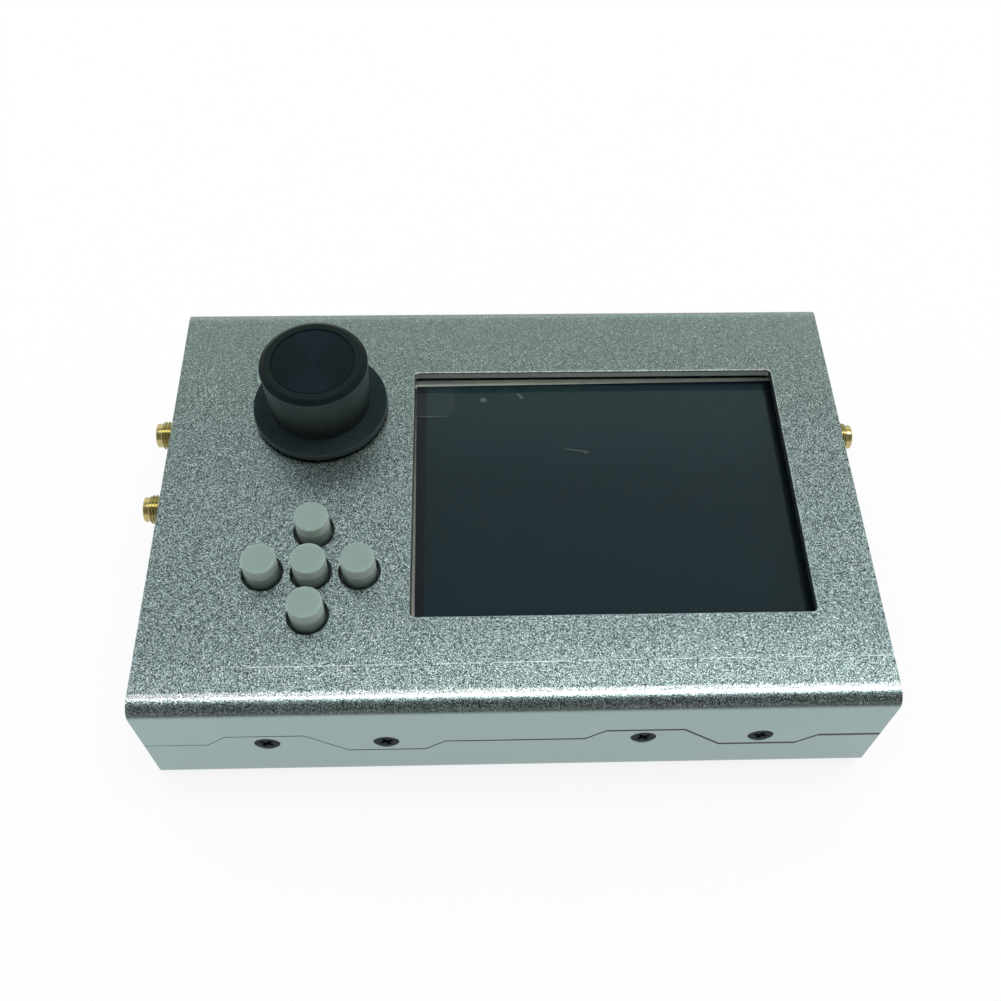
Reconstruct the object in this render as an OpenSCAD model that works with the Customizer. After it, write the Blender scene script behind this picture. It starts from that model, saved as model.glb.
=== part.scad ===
// Hand-held software-defined radio in a two-shell aluminium case.
// Millimetres. +X runs along the long side to the right, +Y to the back and +Z up.
// The origin is the middle of the bottom face.

/* [Case] */
// Length of the case
case_w = 142; // [134:1:156]
// Depth of the case
case_d = 97.4; // [92:0.2:108]
// Height of the case
case_h = 31.2; // [29.6:0.2:36]
// Wall thickness of both shells
wall = 2; // [1.6:0.1:2.4]
// Outer radius of the four long edges
bend_r = 3; // [2.7:0.1:4]
// Chamfer round the window and the button holes
edge_chamfer = 0.22; // [0.1:0.02:0.4]

/* [Seam] */
// Gap between the two shells
seam_gap = 0.2; // [0.08:0.02:0.3]
// Rise of a raised tab and drop of a dropped tab
seam_step = 3.8; // [3.2:0.1:4.4]
// Half the flat length of a tab
tab_half = 7.5; // [6:0.25:9]
// Distance of the inner screws from the middle
screw_in = 24.8; // [23:0.2:27]
// Distance of the outer screws from the middle
screw_out = 47.6; // [45:0.2:50]

/* [Case screws] */
// Thread diameter
screw_d = 2.5; // [2.2:0.1:2.8]
// Head diameter
screw_head_d = 4.95; // [4.5:0.05:5.2]
// Length from the face of the head
screw_len = 6; // [5:0.25:6.5]
// Depth of the head below the wall's face
screw_sink = 0.1; // [0.05:0.05:0.3]
// Width of the arms of the cross in the head
cross_w = 0.75; // [0.5:0.05:1]
// Length of the arms of the cross, tip to tip
cross_len = 2.7; // [2:0.1:3.2]
// Depth of the cross
cross_depth = 0.9; // [0.5:0.05:1.2]
// Thickness of the tapped bosses
boss_t = 5; // [4.5:0.25:6]
// Half the width of the tapped bosses
boss_half = 3.6; // [3:0.1:4.5]

/* [End panels] */
// Depth of each panel inside the end of the case
panel_recess = 1; // [0.6:0.1:1.6]
// Thickness of each panel
panel_t = 1.5; // [1.2:0.1:2]
// Depth of the grooves that hold the panels
groove_depth = 0.8; // [0.5:0.05:1]

/* [Window and display] */
// Length of the window
window_w = 78.4; // [74:0.2:82]
// Depth of the window
window_d = 59.9; // [54:0.1:64]
// Middle of the window along the case
window_x = 19.2; // [17:0.2:21]
// Middle of the window across the case
window_y = 0.1; // [-2:0.1:2]
// Corner radius of the window
window_r = 1; // [0.6:0.1:2]
// Reach of the display beyond the window
display_margin = 1.2; // [0.8:0.1:2]
// Frame left bare at the left of the dark panel
strip_left = 0.9; // [0.4:0.1:2]
// Frame left bare behind the dark panel
strip_back = 1.6; // [0.4:0.1:3]
// Inset of the dark panel from the frame's other two edges
lcd_inset = 0.4; // [0.2:0.1:1]
// Gap between the touch glass and the top wall
glass_gap = 1; // [0.3:0.05:1.4]
// Thickness of the touch glass
glass_t = 0.7; // [0.5:0.05:1.1]
// Thickness of the dark panel
lcd_t = 0.6; // [0.4:0.05:1]
// Thickness of the display's frame
frame_t = 2.6; // [2.4:0.1:3.4]
// Width of the display's flat cable
flex_w = 20; // [12:1:30]
// Thickness of the flat cable
flex_t = 0.2; // [0.15:0.05:0.3]
// Outer radius of the flat cable's bend
flex_bend = 0.8; // [0.5:0.05:1]
// Depth of the flat cable below the top of the frame
flex_drop = 0.4; // [0.2:0.05:0.6]
// Height of the flat cable's connector
connector_t = 1; // [0.8:0.05:1.1]
// Length of the flat cable's connector
connector_len = 3.4; // [2.5:0.1:4]
// Reach of the connector beyond each edge of the cable
connector_side = 1; // [0.5:0.1:2]

/* [Knob and encoder] */
// Place of the knob along the case
knob_x = -39.7; // [-42:0.1:-38]
// Distance of the knob's axis from the rear face of the case
knob_back = 28.3; // [26.5:0.1:30.5]
// Height of the knob's top above the case
knob_h = 15.6; // [12:0.2:18]
// Diameter of the knob
knob_d = 22.1; // [19:0.1:24]
// How much narrower the radius of the knob is at its foot
knob_taper = 0.55; // [0:0.05:0.8]
// Diameter of the knob's flange
flange_d = 28.3; // [25:0.1:30]
// Thickness of the knob's flange
flange_t = 1.5; // [1:0.1:2]
// Rise of the flange's upper side towards the knob
flange_rise = 0.6; // [0:0.1:1]
// Gap under the flange
flange_gap = 0.7; // [0.5:0.05:1.2]
// Chamfer on the edges of the flange
flange_chamfer = 0.25; // [0.1:0.05:0.4]
// Fillet between the flange and the knob
flange_fillet = 0.5; // [0.2:0.05:0.8]
// Width of the sloped edge on top of the knob
rim_slope_w = 1.1; // [0.6:0.05:1.6]
// Drop of the sloped edge on top of the knob
rim_slope_h = 0.75; // [0.4:0.05:1.2]
// Width of the flat ring on top of the knob
rim_flat_w = 1.35; // [0.8:0.05:2]
// Width and depth of the groove inside the ring
rim_groove = 0.3; // [0.2:0.05:0.5]
// Drop of the disc inside the groove
disc_drop = 0.15; // [0.05:0.05:0.2]
// Wall thickness of the knob
knob_wall = 2; // [1.5:0.1:3]
// Thickness of the top of the knob
knob_top_t = 3.5; // [2.5:0.1:4.5]
// Diameter of the encoder's shaft
shaft_d = 6; // [5:0.1:6.4]
// Depth of the flat on the shaft
shaft_flat = 1.5; // [1:0.1:2]
// Wall of the encoder's bushing
bushing_wall = 0.7; // [0.5:0.05:1.2]
// Side of the encoder's body
encoder_side = 12; // [10:0.2:13]

/* [Buttons] */
// Place of the middle button along the case
buttons_x = -39.3; // [-42:0.1:-38]
// Distance of the middle button from the front face of the case
buttons_front = 28.9; // [26.7:0.1:30.5]
// Diameter of a button
button_d = 6.75; // [6:0.05:7.4]
// Diameter of a button's hole
button_hole_d = 7.9; // [7.6:0.05:8.6]
// Metal left between two neighbouring holes
button_web = 1.55; // [1.2:0.05:2.5]
// Height of a button above the case
button_proud = 5.5; // [3:0.1:7]
// Travel of a button
button_travel = 0.3; // [0.2:0.05:0.5]
// Radius of a button's upper edge
button_edge_r = 0.35; // [0.2:0.05:0.6]
// Thickness of the flange that keeps a button in
keeper_t = 0.7; // [0.5:0.05:0.9]
// Side of a key switch
switch_side = 6; // [5:0.1:6.4]
// Diameter of a key switch's plunger
key_plunger_d = 3.4; // [3:0.1:4]
// Depth of a button's socket for the plunger
key_socket = 0.9; // [0.6:0.05:1.2]

/* [Circuit boards] */
// Thickness of both boards
board_t = 1.6; // [1:0.1:2]
// Height of the radio board's underside
radio_board_z = 14; // [13:0.1:15]
// Room between the boards and the bosses
board_side_gap = 2.2; // [1:0.1:3]
// Distance of the posts from the short edges of the boards
post_inset_x = 3.2; // [3:0.1:4]
// Distance of the posts from the long edges of the boards
post_inset_y = 4.5; // [3:0.1:5]
// Diameter of the screws that hold the boards
board_screw_d = 2.5; // [2:0.1:3]
// Height of those screws' heads
board_screw_head_t = 1.6; // [1.2:0.1:2]
// Distance between the flats of a standoff
standoff_flats = 5; // [4.5:0.1:5.5]
// Length of thread that holds a standoff or a screw
thread_len = 4.5; // [3:0.1:5]
// Diameter of the studs pressed into the floor
stud_d = 3; // [2.5:0.1:3.5]
// Length of those studs
stud_len = 1.2; // [0.8:0.1:1.4]
// Width of the header strips between the boards
header_w = 5; // [4:0.1:5.5]
// Height of the upper header strips
plug_t = 2.5; // [2:0.1:3]

/* [Radio sockets] */
// Outer diameter of the thread
sma_d = 6.35; // [6:0.05:6.6]
// Diameter of the plain nose, and of the neck that passes through the panel
sma_nose_d = 5.4; // [5.2:0.05:5.6]
// Length of the plain nose
sma_nose_len = 1.3; // [0.8:0.1:2]
// Bore of the socket
sma_bore_d = 4.6; // [4.2:0.05:4.8]
// Diameter of the middle contact
sma_contact_d = 1.27; // [1:0.01:1.5]
// Bore of the middle contact
sma_pin_bore_d = 0.9; // [0.6:0.01:0.9]
// Depth of the insulator inside the nose
sma_face = 2; // [1.5:0.1:3]
// Reach of the sockets beyond the case
sma_reach = 7.4; // [6:0.2:10]
// Width of the socket's flange
sma_flange_w = 8; // [7:0.1:9]
// Thickness of the socket's flange
sma_flange_t = 1.6; // [1.2:0.1:2]
// Length of the legs that straddle the board
sma_leg_len = 3.6; // [2:0.1:4]
// Width and height of those legs
sma_leg_w = 1.1; // [0.8:0.1:1.4]
// Distance of the first clock socket from the rear face of the case
clock_in_back = 24; // [21.7:0.1:26.7]
// Distance of the second clock socket from the rear face of the case
clock_out_back = 43.9; // [40.7:0.1:46.7]
// Distance of the antenna socket from the rear face of the case
antenna_back = 26.4; // [23.7:0.1:29.7]

/* [Other sockets and switches] */
// Place of the data socket across the case
usb_y = -16; // [-19:0.2:-12]
// Width of the data socket
usb_w = 7.6; // [7:0.1:8]
// Height of the data socket
usb_h = 2.7; // [2.4:0.05:3]
// Length of the data socket
usb_len = 5.8; // [5:0.1:7]
// Wall of the data socket
usb_wall = 0.3; // [0.2:0.05:0.4]
// Width of the tongue in the data socket
usb_tongue_w = 4.6; // [3.6:0.1:5]
// Thickness of that tongue
usb_tongue_t = 0.7; // [0.5:0.05:0.8]
// Place of the memory card socket across the case
card_y = -16; // [-19:0.2:-12]
// Width of the memory card socket
card_w = 14; // [12.5:0.1:15]
// Height of the memory card socket
card_h = 1.9; // [1.7:0.05:2.4]
// Length of the memory card socket
card_len = 15; // [12:0.5:16]
// Floor and roof of the memory card socket
card_wall = 0.25; // [0.2:0.05:0.4]
// Wall at each side of the memory card socket
card_side = 1; // [0.6:0.1:1.4]
// Place of the audio socket across the case
jack_y = -2; // [-4:0.2:2]
// Bore of the audio socket
jack_bore_d = 3.6; // [3.4:0.05:3.8]
// Depth of that bore
jack_depth = 13; // [11:0.5:14]
// Outer diameter of the audio socket's nose
jack_nose_d = 4.8; // [4.6:0.05:5]
// Length of the audio socket's body
jack_len = 12; // [11:0.5:14]
// Width of the audio socket's body
jack_w = 6.4; // [6:0.1:7]
// Height of the audio socket's body
jack_h = 5; // [5:0.05:5.4]
// Place of the reset switch across the case
reset_y = -16; // [-18:0.2:-13]
// Place of the update switch across the case
update_y = -26; // [-28:0.2:-23]
// Length of an end switch along the case
end_switch_len = 3.6; // [3:0.1:4]
// Width of an end switch
end_switch_w = 6; // [5:0.1:6.5]
// Height of an end switch
end_switch_h = 3.6; // [3:0.1:4]
// Diameter of an end switch's plunger
end_plunger_d = 1.8; // [1.4:0.1:2.2]
// Depth of the plunger inside its switch
end_plunger_in = 1; // [0.6:0.1:1.4]
// Travel of the plunger
end_plunger_travel = 0.25; // [0.15:0.05:0.4]
// Reach of the plunger beyond its panel
end_plunger_reach = 0.5; // [0.3:0.05:0.9]

/* [Battery] */
// Length of the cell
battery_w = 100; // [80:1:104]
// Depth of the cell
battery_d = 58; // [40:1:62]
// Thickness of the cell
battery_t = 7.6; // [5:0.2:8]
// Corner radius of the cell and its pad
battery_r = 2; // [1:0.5:4]
// Thickness of the foam pad under the cell
pad_t = 0.8; // [0.4:0.1:1.2]
// Inset of the pad from the edge of the cell
pad_inset = 4; // [1:0.5:8]
// Diameter of a battery lead
lead_d = 1.2; // [0.8:0.1:1.6]
// Distance between the two leads
lead_pitch = 2.4; // [2:0.1:3]
// Place of the leads across the case
lead_y = -18; // [-20:0.5:-10]
// Reach of the leads beyond the cell
lead_reach = 6; // [5:0.25:7]
// Length of the battery plug
plug_len = 8; // [6:0.5:9]
// Width of the battery plug
plug_w = 6; // [5:0.5:8]
// Height of the battery plug
plug_h = 2.8; // [2:0.1:3]

/* [Shield and chips] */
// Length of the shield over the radio parts
shield_w = 40; // [30:1:44]
// Depth of the shield
shield_d = 34; // [24:1:36]
// Height of the shield
shield_h = 3.6; // [2.5:0.1:4]
// Wall of the shield
shield_wall = 0.3; // [0.2:0.05:0.5]
// Middle of the shield along the case
shield_x = 24; // [20:1:26]
// Gap between the shield and the header strip behind it
shield_gap = 2.35; // [1:0.05:5]

/* [Hidden] */
$fn = 48;

// Clearances: a close fit, a loose fit, and how far a cut or a joined block runs past a face
fit = 0.05;
slack = 0.15;
past = 0.5;

// Heights through the case
mid_z = case_h / 2;
roof_z = case_h - wall;
glass_z = roof_z - glass_gap - glass_t;
lcd_z = glass_z - lcd_t;
frame_z = lcd_z - frame_t;
control_top = frame_z;
control_z = control_top - board_t;
radio_top = radio_board_z + board_t;

// Places along the case, from one end inwards
end_x = case_w / 2;
groove_w = panel_t + 2 * fit;
slot_r = 0.3;
panel_x = end_x - panel_recess - groove_w / 2;
panel_in_x = panel_x - groove_w / 2;
panel_out_x = panel_x + panel_t / 2;
board_edge_x = panel_in_x - slack - sma_flange_t;

// Boards, clear of the bosses on both long walls
board_d = case_d - 2 * (wall + slack + boss_t + board_side_gap);
post_x = board_edge_x - post_inset_x;
post_y = board_d / 2 - post_inset_y;
header_y = post_y - standoff_flats / 2 - header_w / 2;
// Each header strip: place along the case, side of the board, length
header_places = [[4, 1, 50], [4, -1, 50], [-38, 1, 20]];

// Display, larger than the window all round
display_w = window_w + 2 * display_margin;
display_d = window_d + 2 * display_margin;
display_right = window_x + display_w / 2;
flex_z = lcd_z - flex_drop;

// Buttons: the switch fills the height that a button leaves above the board
buttons_y = buttons_front - case_d / 2;
button_pitch = button_hole_d + button_web;
keeper_gap = 0.3;
keeper_d = button_pitch - 2 * keeper_gap;
button_z = roof_z - keeper_gap - keeper_t;
switch_top = button_z - button_travel - 2 * fit;
// Each button: name, and steps from the middle button along and across the case
button_places = [
    ["up", 0, 1], ["down", 0, -1], ["left", -1, 0], ["right", 1, 0], ["select", 0, 0]
];

// Encoder and knob
knob_y = case_d / 2 - knob_back;
bushing_d = shaft_d + 2 * fit + 2 * bushing_wall;
bushing_top = case_h + flange_gap + past;
shaft_floor = 1;
shaft_z = control_top + shaft_floor;
flat_z = bushing_top + 2 * past;
shaft_top = case_h + knob_h - knob_top_t - past;
shaft_bore_d = shaft_d + 2 * fit;

// Radio sockets: the contact lies on the radio board
clock_in_y = case_d / 2 - clock_in_back;
clock_out_y = case_d / 2 - clock_out_back;
antenna_y = case_d / 2 - antenna_back;
sma_z = radio_top + sma_contact_d / 2 + fit;
sma_end_x = end_x + sma_reach;
sma_tail = 2;

// Case screws and the bosses that hold them
screw_hole_d = screw_d + 2 * slack;
screw_core_d = screw_d - 2 * fit;
sink_d = screw_head_d + 2 * screw_sink + fit;
upper_boss_places = [-screw_out, screw_in];
lower_boss_places = [-screw_in, screw_out];

// Battery, and the height of its leads and of its plug
battery_z = wall + pad_t;
lead_z = battery_z + battery_t / 2;
plug_x = battery_w / 2 + lead_reach;
plug_z = radio_board_z - plug_h;

// Sockets and switches at the ends
usb_mouth = panel_out_x - usb_wall;
jack_z = control_z - jack_h / 2;
jack_mouth = panel_out_x - slack;
end_switch_z = radio_top + end_switch_h / 2;
end_switch_x = board_edge_x - 2 * slack;

// Shield, in front of the rear header strips
shield_y = header_y - header_w / 2 - shield_gap - shield_d / 2;

// Each chip: place along and across the case, side, thickness
radio_chip_places = [[-34, 4, 20, 1.5], [-10, -16, 12, 1.2], [44, -22, 5, 0.9], [20, -22, 7, 0.9]];
control_chip_places = [[-8, 2, 14, 1.4], [16, -16, 5, 0.9], [-30, -24, 6, 1]];

// Shapes that several pieces share

module rounded_rect(w, h, r) {
    square([w - 2 * r, h], center = true);
    square([w, h - 2 * r], center = true);
    for (x = [-1, 1], y = [-1, 1])
        translate([x * (w / 2 - r), y * (h / 2 - r)]) circle(r);
}

// A profile of Y and Z carried along X
module along_x(len) rotate([90, 0, 90]) linear_extrude(len, center = true) children();

// A profile of X and Z carried along Y
module along_y(len) rotate([90, 0, 0]) linear_extrude(len, center = true) children();

// A rod along X from x0 to x1
module rod_x(d, x0, x1) translate([x0, 0, 0]) rotate([0, 90, 0]) cylinder(d = d, h = x1 - x0);

// A block between its lowest corner and its highest corner
module block(low, high) translate(low) cube(high - low);

// A block on the middle of its underside
module brick(w, d, h) translate([-w / 2, -d / 2, 0]) cube([w, d, h]);

// Children at both long walls: at the front as drawn, at the rear mirrored
module both_walls() {
    children();
    mirror([0, 1, 0]) children();
}

// Case

module case_section(inset) {
    translate([0, mid_z])
        rounded_rect(case_d - 2 * inset, case_h - 2 * inset, bend_r - inset);
}

module case_tube() {
    difference() {
        along_x(case_w) difference() {
            case_section(0);
            case_section(wall);
        }
        for (side = [-1, 1])
            translate([side * panel_x, 0, 0]) along_x(groove_w) case_section(wall - groove_depth);
    }
}

// The seam from left to right: a raised tab, a dropped tab, and the same again
function seam_line(z) = [
    [-case_w, z],
    [-screw_out - tab_half - seam_step, z],
    [-screw_out - tab_half, z + seam_step],
    [-screw_out + tab_half, z + seam_step],
    [-screw_in - tab_half, z - seam_step],
    [-screw_in + tab_half, z - seam_step],
    [-screw_in + tab_half + seam_step, z],
    [screw_in - tab_half - seam_step, z],
    [screw_in - tab_half, z + seam_step],
    [screw_in + tab_half, z + seam_step],
    [screw_out - tab_half, z - seam_step],
    [screw_out + tab_half, z - seam_step],
    [screw_out + tab_half + seam_step, z],
    [case_w, z]
];

module upper_zone() along_y(2 * case_d)
    polygon(concat(seam_line(mid_z + seam_gap / 2), [[case_w, 2 * case_h], [-case_w, 2 * case_h]]));

module lower_zone() along_y(2 * case_d)
    polygon(concat(seam_line(mid_z - seam_gap / 2), [[case_w, -case_h], [-case_w, -case_h]]));

// A tapped block on the upper shell's front wall that reaches down behind a tab of the lower shell
module upper_boss(x) {
    inner_y = -case_d / 2 + wall + slack;
    wall_z = mid_z + seam_step + seam_gap;
    block([x - boss_half, inner_y, mid_z - boss_half],
        [x + boss_half, inner_y + boss_t, roof_z + past]);
    block([x - boss_half, inner_y - slack - past, wall_z],
        [x + boss_half, inner_y + past, roof_z]);
}

module lower_boss(x) translate([0, 0, case_h]) mirror([0, 0, 1]) upper_boss(x);

module countersunk_hole(x) {
    translate([x, -case_d / 2, mid_z]) rotate([-90, 0, 0]) {
        translate([0, 0, -past]) cylinder(d = screw_hole_d, h = wall + 2 * past);
        cylinder(d1 = sink_d, d2 = screw_hole_d, h = (sink_d - screw_hole_d) / 2);
    }
}

module tapped_hole(x) {
    translate([x, -case_d / 2 + wall, mid_z]) rotate([-90, 0, 0])
        cylinder(d = screw_d, h = screw_sink + screw_len + past - wall);
}

// The window's upper edge is chamfered: its straight sides are prisms and its corners are cones
module window_cut() {
    flat_w = window_w - 2 * window_r;
    flat_d = window_d - 2 * window_r;
    translate([window_x, window_y, 0]) {
        translate([0, 0, roof_z - past])
            linear_extrude(wall + 2 * past) rounded_rect(window_w, window_d, window_r);
        along_x(flat_w) chamfer_section(window_d / 2);
        along_y(flat_d) chamfer_section(window_w / 2);
        for (x = [-1, 1], y = [-1, 1])
            translate([x * flat_w / 2, y * flat_d / 2, case_h - edge_chamfer])
                cylinder(r1 = window_r, r2 = window_r + edge_chamfer, h = edge_chamfer);
    }
}

module chamfer_section(half) {
    low_z = case_h - edge_chamfer;
    wide = half + edge_chamfer;
    polygon([[-half, low_z], [half, low_z], [wide, case_h], [-wide, case_h]]);
}

module button_hole() {
    translate([0, 0, roof_z - past]) cylinder(d = button_hole_d, h = wall + 2 * past);
    translate([0, 0, case_h - edge_chamfer])
        cylinder(d1 = button_hole_d, d2 = button_hole_d + 2 * edge_chamfer, h = edge_chamfer);
}

module at_button(place)
    translate([buttons_x + place[1] * button_pitch, buttons_y + place[2] * button_pitch, 0]) children();

module upper_shell() color("silver") difference() {
    union() {
        intersection() {
            case_tube();
            upper_zone();
        }
        both_walls() for (x = upper_boss_places) upper_boss(x);
    }
    window_cut();
    for (place = button_places) at_button(place) button_hole();
    translate([knob_x, knob_y, roof_z - past]) cylinder(d = bushing_d + 2 * slack, h = wall + 2 * past);
    both_walls() {
        for (x = lower_boss_places) countersunk_hole(x);
        for (x = upper_boss_places) tapped_hole(x);
    }
}

module lower_shell() color("silver") difference() {
    union() {
        intersection() {
            case_tube();
            lower_zone();
        }
        both_walls() for (x = lower_boss_places) lower_boss(x);
    }
    both_walls() {
        for (x = upper_boss_places) countersunk_hole(x);
        for (x = lower_boss_places) tapped_hole(x);
    }
    at_posts() translate([0, 0, wall - stud_len - fit]) cylinder(d = stud_d + 2 * fit, h = wall);
}

module case_screw(x) {
    translate([x, -case_d / 2 + screw_sink, mid_z]) rotate([-90, 0, 0]) difference() {
        union() {
            cylinder(d1 = screw_head_d, d2 = screw_core_d, h = (screw_head_d - screw_core_d) / 2);
            cylinder(d = screw_core_d, h = screw_len);
        }
        for (turn = [45, 135])
            rotate(turn) translate([0, 0, -past]) brick(cross_len, cross_w, past + cross_depth);
    }
}

module case_screws() color("dimgray")
    both_walls() for (x = concat(upper_boss_places, lower_boss_places)) case_screw(x);

// End panels

module panel_blank() along_x(panel_t) case_section(wall - groove_depth + fit);

module panel_hole(d) rod_x(d, -panel_t, panel_t);

module panel_slot(w, h) along_x(2 * panel_t) rounded_rect(w, h, slot_r);

module left_end_panel() color("silver") translate([-panel_x, 0, 0]) difference() {
    panel_blank();
    for (y = [clock_in_y, clock_out_y]) translate([0, y, sma_z]) panel_hole(sma_d + 2 * slack);
    translate([0, usb_y, radio_top + usb_h / 2]) panel_slot(usb_w + 4 * slack, usb_h + 4 * slack);
    translate([0, card_y, control_z - card_h / 2]) panel_slot(card_w, card_h);
}

module right_end_panel() color("silver") translate([panel_x, 0, 0]) difference() {
    panel_blank();
    translate([0, antenna_y, sma_z]) panel_hole(sma_d + 2 * slack);
    translate([0, jack_y, jack_z]) panel_hole(jack_nose_d + 2 * slack);
    for (y = [reset_y, update_y]) translate([0, y, end_switch_z]) panel_hole(end_plunger_d + 4 * slack);
}

// Display

module display_plate(z, t) translate([window_x, window_y, z])
    linear_extrude(t) rounded_rect(display_w, display_d, window_r);

module display_frame() color("gainsboro") display_plate(frame_z, frame_t);

module touch_glass() color("lightcyan", 0.4) display_plate(glass_z, glass_t);

module display_panel() color("black") block(
    [window_x - window_w / 2 + strip_left, window_y - display_d / 2 + lcd_inset, lcd_z],
    [display_right - lcd_inset, window_y + window_d / 2 - strip_back, glass_z]);

// Flat cable from the side of the frame, through a quarter turn, down into its connector
module display_flex() color("orange") translate([display_right, window_y, 0]) along_y(flex_w) {
    bend_z = flex_z - flex_bend;
    foot_z = control_top + connector_t;
    inner_r = flex_bend - flex_t;
    polygon(concat(
        [for (a = [90 : -15 : 0]) [flex_bend * cos(a), bend_z + flex_bend * sin(a)]],
        [[flex_bend, foot_z], [inner_r, foot_z]],
        [for (a = [0 : 15 : 90]) [inner_r * cos(a), bend_z + inner_r * sin(a)]]
    ));
}

module flex_connector() color("ivory")
    translate([display_right + 2 * slack + connector_len / 2, window_y, control_top])
        brick(connector_len, flex_w + 2 * connector_side, connector_t);

// Circuit boards and what joins them

module at_posts() for (x = [-1, 1], y = [-1, 1]) translate([x * post_x, y * post_y, 0]) children();

module board(z) difference() {
    translate([0, 0, z]) brick(2 * board_edge_x, board_d, board_t);
    at_posts() translate([0, 0, z - past])
        cylinder(d = board_screw_d + 2 * slack, h = board_t + 2 * past);
}

module control_board() color("darkgreen") board(control_z);

module radio_board() color("darkgreen") board(radio_board_z);

module header_strips(z0, z1)
    for (place = header_places)
        translate([place[0], place[1] * header_y, z0]) brick(place[2], header_w, z1 - z0);

module header_sockets() color("black") header_strips(radio_top, control_z - plug_t);

module header_plugs() color("black") header_strips(control_z - plug_t, control_z);

module hex_post(z0, z1) translate([0, 0, z0])
    cylinder(d = standoff_flats / cos(30), h = z1 - z0, $fn = 6);

// Thread that reaches down from z, and the tapped hole that takes it
module thread(z) translate([0, 0, z - thread_len])
    cylinder(d = board_screw_d - 2 * fit, h = thread_len + board_t + past);

module thread_hole(z) translate([0, 0, z - thread_len - past])
    cylinder(d = board_screw_d, h = thread_len + 2 * past);

module lower_standoffs() color("goldenrod") at_posts() difference() {
    union() {
        hex_post(wall, radio_board_z);
        translate([0, 0, wall - stud_len]) cylinder(d = stud_d, h = stud_len + past);
    }
    thread_hole(radio_board_z);
}

module upper_standoffs() color("goldenrod") at_posts() difference() {
    union() {
        hex_post(radio_top, control_z);
        thread(radio_board_z);
    }
    thread_hole(control_z);
}

module board_screws() color("lightgray") at_posts() {
    head_d = 2 * board_screw_d - 2 * fit;
    slot_w = 0.7;
    difference() {
        union() {
            translate([0, 0, control_top]) cylinder(d = head_d, h = board_screw_head_t);
            thread(control_z);
        }
        translate([0, 0, control_top + board_screw_head_t / 2]) brick(2 * head_d, slot_w, board_screw_head_t);
    }
}

// Encoder and knob

module encoder_body() color("dimgray") translate([knob_x, knob_y, 0]) difference() {
    union() {
        translate([0, 0, control_top])
            brick(encoder_side, encoder_side, roof_z - 4 * fit - control_top);
        translate([0, 0, control_top + past])
            cylinder(d = bushing_d, h = bushing_top - control_top - past);
    }
    translate([0, 0, shaft_z - fit]) cylinder(d = shaft_bore_d, h = case_h);
}

module encoder_shaft() color("silver") translate([knob_x, knob_y, 0]) difference() {
    translate([0, 0, shaft_z]) cylinder(d = shaft_d, h = shaft_top - shaft_z);
    block([shaft_d / 2 - shaft_flat, -shaft_d, flat_z], [shaft_d, shaft_d, shaft_top + past]);
}

// Half of the knob's section: radius, and height above the case
module knob_section() {
    body_r = knob_d / 2;
    foot_r = body_r - knob_taper;
    hub_r = shaft_d / 2 + knob_wall;
    skirt_r = body_r - knob_wall;
    bore_r = shaft_bore_d / 2;
    bore_top = knob_h - knob_top_t;
    hub_z = bushing_top - case_h + past;
    ring_r = body_r - rim_slope_w;
    groove_r = ring_r - rim_flat_w;
    disc_r = groove_r - rim_groove;
    flange_r = flange_d / 2;
    flange_top = flange_gap + flange_t;
    foot_z = flange_top + flange_rise;
    c = flange_chamfer;
    polygon(concat(
        [[bore_r, hub_z], [hub_r, hub_z], [hub_r, bore_top], [skirt_r, bore_top], [skirt_r, flange_gap]],
        [[flange_r - c, flange_gap], [flange_r, flange_gap + c]],
        [[flange_r, flange_top - c], [flange_r - c, flange_top]],
        [for (a = [0 : 22.5 : 90])
            [foot_r + flange_fillet * (1 - sin(a)), foot_z + flange_fillet * (1 - cos(a))]],
        [[body_r, knob_h - rim_slope_h], [ring_r, knob_h], [groove_r, knob_h]],
        [[groove_r, knob_h - rim_groove], [disc_r, knob_h - rim_groove], [disc_r, knob_h - disc_drop]],
        [[0, knob_h - disc_drop], [0, bore_top], [bore_r, bore_top]]
    ));
}

// The key in the knob's bore lies against the flat on the shaft
module knob() color("#181a1c") translate([knob_x, knob_y, case_h]) {
    key_x = shaft_d / 2 - shaft_flat + fit;
    key_z = flat_z - case_h + past;
    rotate_extrude() knob_section();
    intersection() {
        translate([0, 0, key_z]) cylinder(d = shaft_d + 2 * past, h = knob_h - knob_top_t + past - key_z);
        block([key_x, -shaft_d, key_z], [shaft_d, shaft_d, knob_h]);
    }
}

// Buttons

// Half of a button's section: radius and height
module button_section() {
    r = button_d / 2;
    e = button_edge_r;
    keeper_r = keeper_d / 2;
    socket_r = key_plunger_d / 2 + fit;
    socket_z = button_z + key_socket;
    top_z = case_h + button_proud;
    polygon(concat(
        [[0, socket_z], [socket_r, socket_z], [socket_r, button_z], [keeper_r, button_z]],
        [[keeper_r, button_z + keeper_t], [r, button_z + keeper_t]],
        [for (a = [0 : 22.5 : 90]) [r - e + e * cos(a), top_z - e + e * sin(a)]],
        [[0, top_z]]
    ));
}

module button(place) color("darkgray") at_button(place) rotate_extrude() button_section();

module key_plunger(place) color("black") at_button(place) {
    foot_z = switch_top - 2 * button_travel;
    translate([0, 0, foot_z]) cylinder(d = key_plunger_d, h = button_z + key_socket - fit - foot_z);
}

module key_switch(place) color("gray") at_button(place) difference() {
    translate([0, 0, control_top]) brick(switch_side, switch_side, switch_top - control_top);
    translate([0, 0, switch_top - 4 * button_travel])
        cylinder(d = key_plunger_d + 2 * fit, h = 4 * button_travel + past);
}

// Battery, glued to the floor on its pad

module battery_cell() color("silver") translate([0, 0, battery_z])
    linear_extrude(battery_t) rounded_rect(battery_w, battery_d, battery_r);

module battery_pad() color("dimgray") translate([0, 0, wall])
    linear_extrude(pad_t) rounded_rect(battery_w - 2 * pad_inset, battery_d - 2 * pad_inset, battery_r);

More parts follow.
